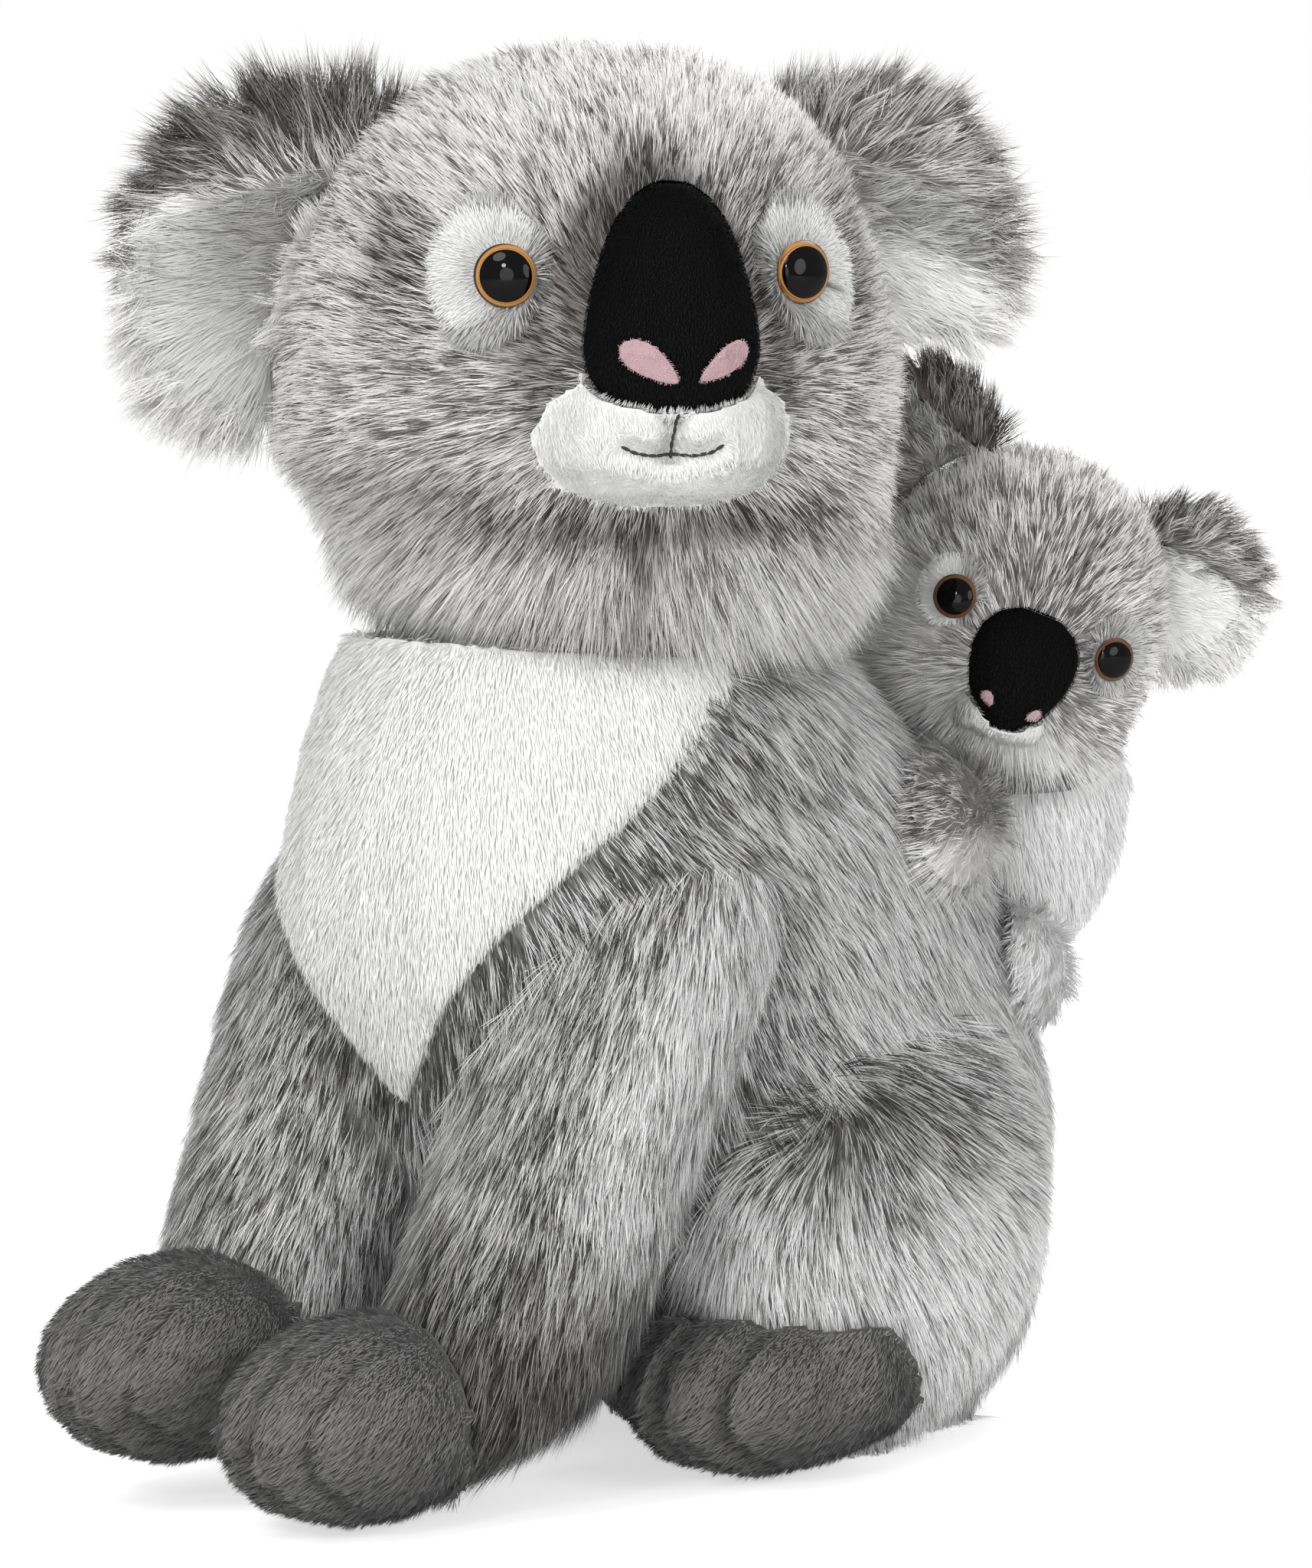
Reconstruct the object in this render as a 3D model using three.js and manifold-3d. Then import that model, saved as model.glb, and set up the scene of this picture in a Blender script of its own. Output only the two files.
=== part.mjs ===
// A sitting plush koala with a joey on her back, in millimetres, +Z up.
// The origin is on the table, on the flat under the seat, and she faces -Y.
// Every stuffed piece is one solid with its cover and its filling, and each smaller piece is cut
// by the larger one that it is sewn to. Her head and the joey's are turned to her left.
import * as THREE from "three";
import { mergeVertices } from "three/addons/utils/BufferGeometryUtils.js";
import Module from "manifold-3d";

const wasm = await Module();
wasm.setup();

// Clearances and cuts
const seamGap = 0.3; // between two sewn pieces
const turnGap = 0.5; // between a piece that turns and what it turns in
const tableCut = 0.5; // how deep the flats that stand on the table are cut
const overrun = 40; // how far a cutter runs past what it cuts

// Torso: a stack of oval levels that leans forward as it rises
const torsoHeight = 228;
const torsoWidth = 142;
const torsoDepth = 212;
const torsoLean = 88;
// height, lean, half depth and half width of each level
const torsoShares = [
  [0, 0.06, 0.4, 0.6],
  [0.09, 0.12, 0.65, 0.85],
  [0.22, 0.3, 0.87, 0.96],
  [0.35, 0.45, 0.97, 1],
  [0.48, 0.6, 1, 1],
  [0.61, 0.73, 0.96, 0.98],
  [0.745, 0.85, 0.83, 0.93],
  [0.855, 0.95, 0.64, 0.82],
  [0.94, 1, 0.47, 0.66],
  [1, 1, 0.28, 0.42],
];

// White chest panel, let into the front of the torso
const bibThickness = 4;
const bibTip = 96; // height of the lower point above the table
const bibTop = 226;
const bibWidth = 112;
const bibBack = 94; // the panel stays in front of this
// height above the tip, as a share of the panel's height, and half width
const bibShares = [
  [0, 0.03],
  [0.12, 0.24],
  [0.24, 0.44],
  [0.36, 0.66],
  [0.48, 0.86],
  [0.6, 0.98],
  [0.74, 0.99],
  [0.88, 0.86],
  [1, 0.7],
];

// Front legs, from the shoulder down to the table
const armTop = 166;
const armFoot = 8;
const armRadius = 33;
const armTopOut = 46.5;
const armFootOut = 35;
const armTopForward = 97;
const armFootForward = 170;
// place along the leg and radius
const armShares = [
  [0, 0.2],
  [0.04, 0.58],
  [0.13, 0.9],
  [0.26, 1],
  [0.48, 1],
  [0.66, 1],
  [0.83, 0.94],
  [0.94, 0.74],
  [1, 0.3],
];

// Paws and feet, with their toes drawn in by stitches
const pawWidth = 58;
const pawLength = 82;
const pawHeight = 54;
const pawOut = 29.5;
const pawForward = 197;
const rightPawLift = 8; // her right paw stands just off the table
const footWidth = 62;
const footLength = 78;
const footHeight = 48;
const footOut = 53;
const footForward = 83;
const toeGroove = 3.5;
// across the half width of a paw: where its toes are drawn in, and the rounds between
const toeShares = [-0.48, 0, 0.48];
const pawShares = [-0.96, -0.82, -0.6, -0.48, -0.36, -0.12, 0, 0.12, 0.36, 0.48, 0.6, 0.82, 0.96];
const toeReachShare = 0.3; // how far back the grooves run

// Haunches
const haunchWidth = 72;
const haunchLength = 124;
const haunchHeight = 120;
const haunchOut = 50;
const haunchForward = 43;
const haunchBase = 2;

// Neck: a firm plug of filling that both the torso and the head turn on
const neckForward = 85;
const neckHeight = 212;
const neckRadius = 26;
const neckPlay = 0.42; // round the plug, in its sockets
const nodLimit = 5; // degrees, either way, that the torso leaves room for

// Noses: height from the middle, as a share of half the height, and half width
const broadNoseShares = [
  [-1, 0],
  [-0.96, 0.42],
  [-0.83, 0.78],
  [-0.62, 0.95],
  [-0.42, 1],
  [-0.18, 0.96],
  [0.08, 0.87],
  [0.35, 0.77],
  [0.58, 0.65],
  [0.8, 0.46],
  [0.94, 0.24],
  [1, 0],
];
const roundNoseShares = [
  [-1, 0],
  [-0.94, 0.24],
  [-0.78, 0.5],
  [-0.5, 0.77],
  [-0.2, 0.93],
  [0.12, 1],
  [0.4, 0.98],
  [0.64, 0.87],
  [0.84, 0.64],
  [0.95, 0.36],
  [1, 0],
];

// The two heads share one build. Each is round about its own upright axis, and what is sewn
// to the snout is placed by how far it stands proud of it. The ear push is how far each ear
// is moved in and up, and how many degrees more it leans, where the two heads push them.
const mother = {
  prefix: "",
  at: [0, -neckForward, 270],
  turn: 56.5,
  tilt: 0,
  headWidth: 153,
  headHeight: 143,
  snoutWidth: 88,
  snoutHeight: 78,
  snoutReach: 83,
  snoutDepth: 70,
  snoutDrop: 5,
  muzzleWidth: 73,
  muzzleHeight: 47,
  muzzleProud: 11,
  muzzleDepth: 110,
  muzzleDrop: 14.5,
  noseWidth: 43,
  noseHeight: 56.5,
  noseProud: 16.5,
  noseDepth: 38,
  noseRise: 16.4,
  noseShares: broadNoseShares,
  nostrilLength: 16.5,
  nostrilWidth: 7,
  nostrilOut: 8.8,
  nostrilDrop: 14.2,
  nostrilSlant: -35,
  eyeDiameter: 15,
  eyeOut: 34.5,
  eyeRise: 21.5,
  eyeTurn: 26,
  patchWidth: 27,
  patchHeight: 32,
  patchOut: 6,
  patchRise: 1,
  earOut: 70,
  earBack: 15,
  earRise: 19,
  earLean: 18,
  earPush: { left: [0, 3, 0], right: [0, 0, 0] },
  earWidth: 46,
  earHeight: 90,
  earThickness: 13,
  earFlexes: true,
  ringCount: 13,
  sideCount: 28,
  smallCount: 14,
};
const joey = {
  prefix: "joey_",
  at: [30.5, 38.7, 200.5],
  turn: 49.5,
  tilt: 22,
  headWidth: 81,
  headHeight: 84,
  snoutWidth: 44,
  snoutHeight: 38,
  snoutReach: 43,
  snoutDepth: 34,
  snoutDrop: 12,
  muzzleWidth: 26,
  muzzleHeight: 14,
  muzzleProud: 3,
  muzzleDepth: 22,
  muzzleDrop: 24,
  noseWidth: 28,
  noseHeight: 32,
  noseProud: 7,
  noseDepth: 20,
  noseRise: -12,
  noseShares: roundNoseShares,
  nostrilLength: 5.5,
  nostrilWidth: 3.2,
  nostrilOut: 6,
  nostrilDrop: 9,
  nostrilSlant: -40,
  eyeDiameter: 11,
  eyeOut: 20,
  eyeRise: -1,
  eyeTurn: 26,
  patchWidth: 15,
  patchHeight: 17,
  patchOut: 3,
  patchRise: 1,
  earOut: 34.5,
  earBack: 6,
  earRise: 17.5,
  earLean: 34,
  earPush: { left: [0, 0, 0], right: [4, 9, 20] },
  earWidth: 31,
  earHeight: 48,
  earThickness: 9,
  earFlexes: false,
  ringCount: 9,
  sideCount: 18,
  smallCount: 12,
};

// Head profile: height from the middle, as a share of half the height, and radius
const headShares = [
  [-1, 0.22],
  [-0.97, 0.46],
  [-0.87, 0.7],
  [-0.71, 0.87],
  [-0.54, 0.95],
  [-0.35, 0.99],
  [-0.18, 1],
  [0, 0.99],
  [0.3, 0.93],
  [0.47, 0.86],
  [0.64, 0.745],
  [0.81, 0.56],
  [0.93, 0.34],
  [1, 0.1],
];
const pillowPower = 2.5; // of the muzzle's form: more is squarer
const noseDepthPower = 2.4;
const nostrilTaperShare = 0.4; // how much narrower a nostril is at its inner end
const earCentreShare = 0.14; // of the ear's width, out from its root
const earBeadShare = 0.24; // of the ear's height, either way, that the bead runs
const liningHeightShare = 0.78; // of the ear's height that the white lining covers
const liningSlant = 40; // degrees
const liningEdge = 5; // of the grey back seen round the lining
const earFlexLimits = [-15, 20]; // degrees, backward and forward

// Safety eye, as shares of its diameter
const eyeDomeShare = 0.34;
const eyeShankShare = 0.16;
const eyeShankLengthShare = 0.72;
const washerDiameterShare = 0.9;
const washerThickness = 1.2;
const washerDepthShare = 0.42;
const patchThickness = 2;
const nostrilThickness = 0.8;

// Joey's body and limbs
const joeyBodyWidth = 61;
const joeyBodyDepth = 60;
const joeyBodyHeight = 90;
const joeyBodyAt = [26, 43.7, 148];
const joeyBodyTilt = 16;
const joeyTurnLimit = 12; // degrees, either way, that its body leaves room for
const joeyArmWidth = 40;
const joeyArmLength = 60;
const joeyArmHeight = 43;
const joeyLegWidth = 32;
const joeyLegLength = 46;
const joeyLegHeight = 37;
// Each limb: how far to the side of the body's middle, how far in front of it, how far up,
// and the degrees that it is swung round towards her flank
const joeyArmPlaces = { left: [25, 63, 4, 29], right: [-46, 15.5, 8, -36] };
const joeyLegPlaces = { left: [19.5, 23, -35, 26], right: [-38, 1.7, -36, -26] };

// Colours and finishes, as seen in daylight
const frostedGrey = cloth(0x9c9d9d);
const darkGrey = cloth(0x6d6d6d);
const whitePlush = cloth(0xeef0ee);
const blackPlush = cloth(0x121212);
const pinkFelt = cloth(0xd9b7b9);
const amberEye = new THREE.MeshStandardMaterial({ color: 0x8a5a2b, roughness: 0.08 });
const brownEye = new THREE.MeshStandardMaterial({ color: 0x5e3a28, roughness: 0.08 });
const washerPlastic = new THREE.MeshStandardMaterial({ color: 0xf1f1ec, roughness: 0.5 });

const koala = new THREE.Group();

function cloth(color) {
  return new THREE.MeshStandardMaterial({ color, roughness: 0.95, metalness: 0 });
}

// Solids

function solidOf(geometry) {
  const bare = geometry.clone();
  bare.deleteAttribute("normal");
  bare.deleteAttribute("uv");
  const merged = mergeVertices(bare, 1e-4);
  return new wasm.Manifold(
    new wasm.Mesh({
      numProp: 3,
      vertProperties: merged.attributes.position.array,
      triVerts: new Uint32Array(merged.index.array),
    }),
  );
}

function geometryOf(solid) {
  const mesh = solid.getMesh();
  const geometry = new THREE.BufferGeometry();
  geometry.setAttribute("position", new THREE.BufferAttribute(mesh.vertProperties, 3));
  geometry.setIndex(new THREE.BufferAttribute(mesh.triVerts, 1));
  geometry.computeVertexNormals();
  return geometry;
}

function moved(solid, matrix) {
  return solid.transform(matrix.elements);
}

function addMesh(group, name, solid, material) {
  const mesh = new THREE.Mesh(geometryOf(solid), material);
  mesh.name = name;
  group.add(mesh);
  return mesh;
}

// Values of a table of shares at a place, on a smooth curve through its rows
function between(table, place) {
  const last = table.length - 1;
  let row = 0;
  while (row < last - 1 && table[row + 1][0] < place) row += 1;
  const before = table[Math.max(row - 1, 0)];
  const low = table[row];
  const high = table[row + 1];
  const after = table[Math.min(row + 2, last)];
  const span = high[0] - low[0];
  const t = Math.min(Math.max((place - low[0]) / span, 0), 1);
  return low.map((value, k) => {
    const slopeLow = ((high[k] - before[k]) / (high[0] - before[0])) * span;
    const slopeHigh = ((after[k] - value) / (after[0] - low[0])) * span;
    return THREE.MathUtils.lerp(value, high[k], t * t * (3 - 2 * t))
      + (t ** 3 - 2 * t ** 2 + t) * slopeLow + (t ** 3 - t ** 2) * slopeHigh;
  });
}

// A closed skin over rings of points, all with the same count, from the first ring to the last
function skinned(rings) {
  const sides = rings[0].length;
  const points = rings.flat();
  const middle = (ring) =>
    ring.reduce((sum, p) => sum.add(p), new THREE.Vector3()).divideScalar(sides);
  points.push(middle(rings[0]), middle(rings.at(-1)));
  const faces = [];
  const lastRing = rings.length - 1;
  for (let k = 0; k < sides; k += 1) {
    const next = (k + 1) % sides;
    for (let i = 0; i < lastRing; i += 1) {
      const a = i * sides + k;
      const b = i * sides + next;
      faces.push(a, b, b + sides, a, b + sides, a + sides);
    }
    faces.push(points.length - 2, next, k);
    faces.push(points.length - 1, lastRing * sides + k, lastRing * sides + next);
  }
  const geometry = new THREE.BufferGeometry().setFromPoints(points);
  geometry.setIndex(faces);
  return solidOf(geometry);
}

function ellipsoid(width, depth, height, sides) {
  const ball = new THREE.SphereGeometry(0.5, sides, Math.ceil(sides / 2));
  ball.rotateX(Math.PI / 2);
  ball.scale(width, depth, height);
  return solidOf(ball);
}

// An oval form with fuller corners
function pillow(width, depth, height, sides) {
  const ball = new THREE.SphereGeometry(1, sides, Math.ceil(sides / 2));
  ball.rotateX(Math.PI / 2);
  const position = ball.attributes.position;
  const p = new THREE.Vector3();
  for (let i = 0; i < position.count; i += 1) {
    p.fromBufferAttribute(position, i);
    const sum = p.toArray().reduce((total, value) => total + Math.abs(value) ** pillowPower, 0);
    p.divideScalar(sum ** (1 / pillowPower));
    position.setXYZ(i, (p.x * width) / 2, (p.y * depth) / 2, (p.z * height) / 2);
  }
  return solidOf(ball);
}

function rod(radius, from, to, sides) {
  const shaft = new THREE.CylinderGeometry(radius, radius, to - from, sides);
  shaft.translate(0, (from + to) / 2, 0);
  return solidOf(shaft);
}

function block(low, high) {
  const size = high.map((value, k) => value - low[k]);
  const box = new THREE.BoxGeometry(...size);
  box.translate(...high.map((value, k) => (value + low[k]) / 2));
  return solidOf(box);
}

// Everything below a height, for flats on the table
function tableBlock() {
  const reach = torsoDepth + armFootForward + overrun;
  return block([-reach, -reach, -overrun - tableCut], [reach, reach, 0]);
}

// Torso

function torsoForm(grow) {
  const rings = [];
  const ringCount = 13;
  const sides = 24;
  for (let i = 0; i <= ringCount; i += 1) {
    const level = i / ringCount;
    const [, lean, depth, width] = between(torsoShares, level);
    const z = THREE.MathUtils.lerp(-tableCut - grow, torsoHeight + grow, level);
    rings.push(
      Array.from({ length: sides }, (_, k) => {
        const angle = (k / sides) * Math.PI * 2;
        return new THREE.Vector3(
          Math.cos(angle) * ((torsoWidth / 2) * width + grow),
          Math.sin(angle) * ((torsoDepth / 2) * depth + grow) - torsoLean * lean,
          z,
        );
      }),
    );
  }
  return skinned(rings);
}

function bibCutter(grow) {
  const outline = [];
  const steps = 12;
  const height = bibTop - bibTip;
  for (let i = 0; i <= steps; i += 1) {
    const [place, width] = between(bibShares, i / steps);
    const z = bibTip - grow + place * (height + 2 * grow);
    outline.push(new THREE.Vector2((bibWidth / 2) * width + grow, z));
  }
  const mirrored = outline.map((p) => new THREE.Vector2(-p.x, p.y)).reverse();
  const shape = new THREE.Shape([...outline, ...mirrored]);
  const length = torsoDepth + torsoLean - bibBack + grow;
  const panel = new THREE.ExtrudeGeometry(shape, { depth: length, bevelEnabled: false });
  panel.rotateX(Math.PI / 2);
  panel.translate(0, -bibBack + grow, 0);
  return solidOf(panel);
}

// What the head sweeps as it turns and nods: its profile, tipped both ways about the neck
function headSweep() {
  const half = mother.headHeight / 2;
  const pivot = neckHeight - mother.at[2];
  const nod = THREE.MathUtils.degToRad(nodLimit);
  const profile = [];
  const stepCount = 90;
  for (let i = 0; i <= stepCount; i += 1) {
    const [height, radius] = between(headShares, -1 + (2 * i) / stepCount);
    profile.push([(mother.headWidth / 2) * radius, half * height - pivot]);
  }
  const rows = 15;
  const lowest = Math.PI * 0.3;
  const highest = Math.PI * 0.62;
  const window = nod + (highest - lowest) / rows;
  // the rows start where the head comes out of the neck's own socket
  const outline = [new THREE.Vector2(0, -neckRadius / 2)];
  for (let i = 0; i <= rows; i += 1) {
    const angle = THREE.MathUtils.lerp(lowest, highest, i / rows);
    let reach = neckRadius;
    for (const [r, z] of profile) {
      const off = Math.abs(Math.atan2(r, -z) - angle);
      if (off < window) reach = Math.max(reach, Math.hypot(r, z));
    }
    reach += 2 * turnGap;
    outline.push(new THREE.Vector2(Math.sin(angle) * reach, -Math.cos(angle) * reach));
  }
  outline.push(new THREE.Vector2(0, outline.at(-1).y));
  const swept = new THREE.LatheGeometry(outline, 28);
  swept.rotateX(Math.PI / 2);
  swept.translate(0, -neckForward, neckHeight);
  return solidOf(swept);
}

// Legs, paws and feet

function armForm(side, lift, grow) {
  const top = new THREE.Vector3(side * armTopOut, -armTopForward, armTop + grow);
  const foot = new THREE.Vector3(side * armFootOut, -armFootForward, armFoot + lift - grow);
  const rings = [];
  const ringCount = 9;
  const sides = 18;
  for (let i = 0; i <= ringCount; i += 1) {
    const [, radius] = between(armShares, 1 - i / ringCount);
    const centre = foot.clone().lerp(top, i / ringCount);
    rings.push(
      Array.from({ length: sides }, (_, k) => {
        const angle = (k / sides) * Math.PI * 2;
        const reach = armRadius * radius + grow;
        return new THREE.Vector3(Math.cos(angle), Math.sin(angle), 0)
          .multiplyScalar(reach)
          .add(centre);
      }),
    );
  }
  return skinned(rings);
}

function pawForm(width, length, height, at) {
  const sides = 14;
  const rings = pawShares.map((across) =>
    Array.from({ length: sides }, (_, k) => {
      const angle = (k / sides) * Math.PI * 2;
      const front = THREE.MathUtils.smoothstep(-Math.cos(angle), -toeReachShare, 1 - toeReachShare);
      const groove = toeShares.includes(across) ? (front * toeGroove) / (height / 2) : 0;
      const round = Math.sqrt(1 - across ** 2) - groove;
      return new THREE.Vector3(
        at[0] + (across * width) / 2,
        at[1] + (Math.cos(angle) * round * length) / 2,
        at[2] + (Math.sin(angle) * round * height) / 2,
      );
    }),
  );
  return skinned(rings);
}

function haunchForm(side, grow) {
  const ball = new THREE.SphereGeometry(0.5, 20, 11);
  ball.rotateX(Math.PI / 2);
  ball.scale(haunchWidth + 2 * grow, haunchLength + 2 * grow, haunchHeight + 2 * grow);
  ball.translate(side * haunchOut, -haunchForward, haunchBase + haunchHeight / 2);
  return solidOf(ball);
}

// Heads. All of this is in the head's own frame: its middle is the origin and it faces -Y.

function headCore(h, grow) {
  const profile = [];
  const half = h.headHeight / 2;
  for (let i = 0; i <= h.ringCount; i += 1) {
    // even steps of angle, so that the rings crowd where the profile turns
    const height = -Math.cos((i / h.ringCount) * Math.PI);
    const [, radius] = between(headShares, height);
    const reach = (h.headWidth / 2) * radius + grow;
    profile.push(new THREE.Vector2(reach, (half + grow) * height));
  }
  profile[0].x = 0;
  profile.at(-1).x = 0;
  const core = new THREE.LatheGeometry(profile, h.sideCount);
  core.rotateX(Math.PI / 2);
  return solidOf(core);
}

function headRadius(h, z) {
  return (h.headWidth / 2) * between(headShares, (2 * z) / h.headHeight)[1];
}

function snoutForm(h, grow) {
  const size = [h.snoutWidth, h.snoutDepth, h.snoutHeight].map((value) => value + 2 * grow);
  const snout = ellipsoid(...size, h.smallCount + 2);
  return snout.translate([0, h.snoutDepth / 2 - h.snoutReach, -h.snoutDrop]);
}

function muzzleForm(h, grow) {
  const size = [h.muzzleWidth, h.muzzleDepth, h.muzzleHeight].map((value) => value + 2 * grow);
  const y = h.muzzleDepth / 2 - h.snoutReach - h.muzzleProud;
  return pillow(...size, h.smallCount + 6).translate([0, y, -h.muzzleDrop]);
}

function noseForm(h, grow) {
  const front = h.snoutReach + h.noseProud;
  const rings = [];
  const steps = Math.ceil(h.smallCount * 0.75);
  const sides = h.smallCount + 2;
  for (let i = 1; i < steps; i += 1) {
    const height = -Math.cos((i / steps) * Math.PI);
    const [, width] = between(h.noseShares, height);
    const depth = (1 - Math.abs(height) ** noseDepthPower) ** (1 / noseDepthPower);
    rings.push(
      Array.from({ length: sides }, (_, k) => {
        const angle = (k / sides) * Math.PI * 2;
        return new THREE.Vector3(
          Math.cos(angle) * ((h.noseWidth / 2) * width + grow),
          Math.sin(angle) * ((h.noseDepth / 2) * depth + grow) + h.noseDepth / 2 - front,
          height * (h.noseHeight / 2 + grow) + h.noseRise,
        );
      }),
    );
  }
  return skinned(rings);
}

// A nostril is a slanted leaf of felt that follows the nose
function nostrilSolid(h, side, inner, outer) {
  const oval = new THREE.CylinderGeometry(0.5, 0.5, h.noseDepth, 14);
  const position = oval.attributes.position;
  for (let i = 0; i < position.count; i += 1) {
    const taper = 1 + nostrilTaperShare * side * 2 * position.getX(i);
    position.setZ(i, position.getZ(i) * taper);
  }
  oval.scale(h.nostrilLength, 1, h.nostrilWidth);
  oval.rotateY(THREE.MathUtils.degToRad(side * h.nostrilSlant));
  const y = h.noseDepth / 8 - h.snoutReach - h.noseProud;
  oval.translate(side * h.nostrilOut, y, h.noseRise - h.nostrilDrop);
  return noseForm(h, outer).intersect(solidOf(oval)).subtract(noseForm(h, inner));
}

// The matrix of an eye's frame: +Y points out of the head, from its surface
function eyeFrame(h, side) {
  const radius = headRadius(h, h.eyeRise);
  const y = -Math.sqrt(radius ** 2 - h.eyeOut ** 2);
  const frame = new THREE.Object3D();
  frame.position.set(side * h.eyeOut, y, h.eyeRise);
  frame.rotation.set(0, 0, Math.PI + THREE.MathUtils.degToRad(side * h.eyeTurn));
  frame.updateMatrix();
  return frame.matrix;
}

function eyeSolid(h) {
  const d = h.eyeDiameter;
  const base = patchThickness + 2 * seamGap;
  const shank = d * eyeShankShare;
  const profile = [new THREE.Vector2(0, -d * eyeShankLengthShare)];
  profile.push(new THREE.Vector2(shank * 0.7, -d * eyeShankLengthShare));
  profile.push(new THREE.Vector2(shank, -d * washerDepthShare - 2 * washerThickness));
  profile.push(new THREE.Vector2(shank, base));
  profile.push(new THREE.Vector2(d / 2, base));
  const steps = 4;
  for (let i = 1; i <= steps; i += 1) {
    const angle = (i / steps) * (Math.PI / 2);
    const rim = d * 0.06;
    profile.push(
      new THREE.Vector2((d / 2) * Math.cos(angle), base + rim + (d * eyeDomeShare - rim) * Math.sin(angle)),
    );
  }
  profile.at(-1).x = 0;
  return solidOf(new THREE.LatheGeometry(profile, 12));
}

// What the eye's rim is pressed into
function eyeSeat(h) {
  return rod(h.eyeDiameter / 2 + seamGap, patchThickness + seamGap, overrun, 16);
}

// A washer locks on the shank, inside the head
function washerSolid(h, grow) {
  const radius = (h.eyeDiameter * washerDiameterShare) / 2 + grow;
  const low = -h.eyeDiameter * washerDepthShare - washerThickness - grow;
  const high = -h.eyeDiameter * washerDepthShare + grow;
  return rod(radius, low, high, 12);
}

function shankBore(h, grow) {
  const d = h.eyeDiameter;
  return rod(d * eyeShankShare + grow, -d * eyeShankLengthShare - grow, overrun, 8);
}

// Ears. The root is a round bead on which the ear bends, and the flap stands out from it.
// The ear's frame has +X outward, +Y backward and +Z along the root.

function earFrame(h, side) {
  const frame = new THREE.Object3D();
  const [pushIn, pushUp, pushOver] = side > 0 ? h.earPush.left : h.earPush.right;
  frame.position.set(side * (h.earOut - pushIn), h.earBack, h.earRise + pushUp);
  frame.rotation.set(0, THREE.MathUtils.degToRad(-side * (h.earLean + pushOver)), 0);
  frame.scale.set(side, 1, 1);
  frame.updateMatrix();
  return frame.matrix;
}

function earForm(h) {
  const flap = new THREE.SphereGeometry(0.5, h.smallCount, h.smallCount / 2);
  flap.scale(2 * h.earWidth * (1 - earCentreShare), h.earHeight, h.earThickness);
  flap.rotateX(Math.PI / 2);
  flap.translate(h.earWidth * earCentreShare, 0, 0);
  return solidOf(flap);
}

function earBead(h, grow) {
  const reach = h.earHeight * earBeadShare + grow;
  const bead = rod(h.earThickness / 2 - seamGap + grow, -reach, reach, 16);
  return moved(bead, new THREE.Matrix4().makeRotationX(Math.PI / 2));
}

// The head as the ear meets it at every bend between its limits, in the ear's frame
function headRound(h, frame) {
  const inverse = frame.clone().invert();
  const steps = 2;
  let swept = moved(headCore(h, turnGap), inverse);
  for (let i = 0; i <= steps; i += 1) {
    const angle = THREE.MathUtils.lerp(...earFlexLimits, i / steps);
    const bend = new THREE.Matrix4().makeRotationZ(THREE.MathUtils.degToRad(angle));
    swept = swept.add(moved(headCore(h, turnGap), bend.multiply(inverse)));
  }
  return swept;
}

// The white lining fills the lower part of the front, inside a grey edge
function liningCutter(h, grow) {
  const reach = h.earHeight + overrun;
  const drop = h.earHeight * (liningHeightShare - 0.5);
  const front = block([-reach, -reach, -reach], [reach, -grow, drop - grow]);
  const slant = new THREE.Matrix4().makeRotationY(THREE.MathUtils.degToRad(liningSlant));
  const flap = new THREE.CylinderGeometry(0.5, 0.5, reach, h.smallCount);
  const edge = 2 * (liningEdge + grow);
  flap.scale(2 * h.earWidth * (1 - earCentreShare) - edge, 1, h.earHeight - edge);
  flap.translate(h.earWidth * earCentreShare, 0, 0);
  const lining = moved(front, slant).intersect(solidOf(flap));
  return h.earFlexes ? lining.subtract(earBead(h, grow)) : lining;
}

function addEar(h, group, head, side, sideName) {
  const frame = earFrame(h, side);
  const root = h.earFlexes ? headRound(h, frame) : moved(headCore(h, seamGap), frame.clone().invert());
  const flap = earForm(h).subtract(root);
  const whole = h.earFlexes ? flap.add(earBead(h, 0)) : flap;
  const lining = flap.intersect(liningCutter(h, seamGap));
  const back = whole.subtract(liningCutter(h, 0));
  addMesh(group, `${h.prefix}ear_${sideName}_back`, moved(back, frame), frostedGrey);
  addMesh(group, `${h.prefix}ear_${sideName}_lining`, moved(lining, frame), whitePlush);
  return h.earFlexes ? head.subtract(moved(earBead(h, turnGap), frame)) : head;
}

function headMatrix(h) {
  const frame = new THREE.Object3D();
  frame.position.set(...h.at);
  frame.rotation.set(0, THREE.MathUtils.degToRad(h.tilt), THREE.MathUtils.degToRad(h.turn), "ZYX");
  frame.updateMatrix();
  return frame.matrix;
}

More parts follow.
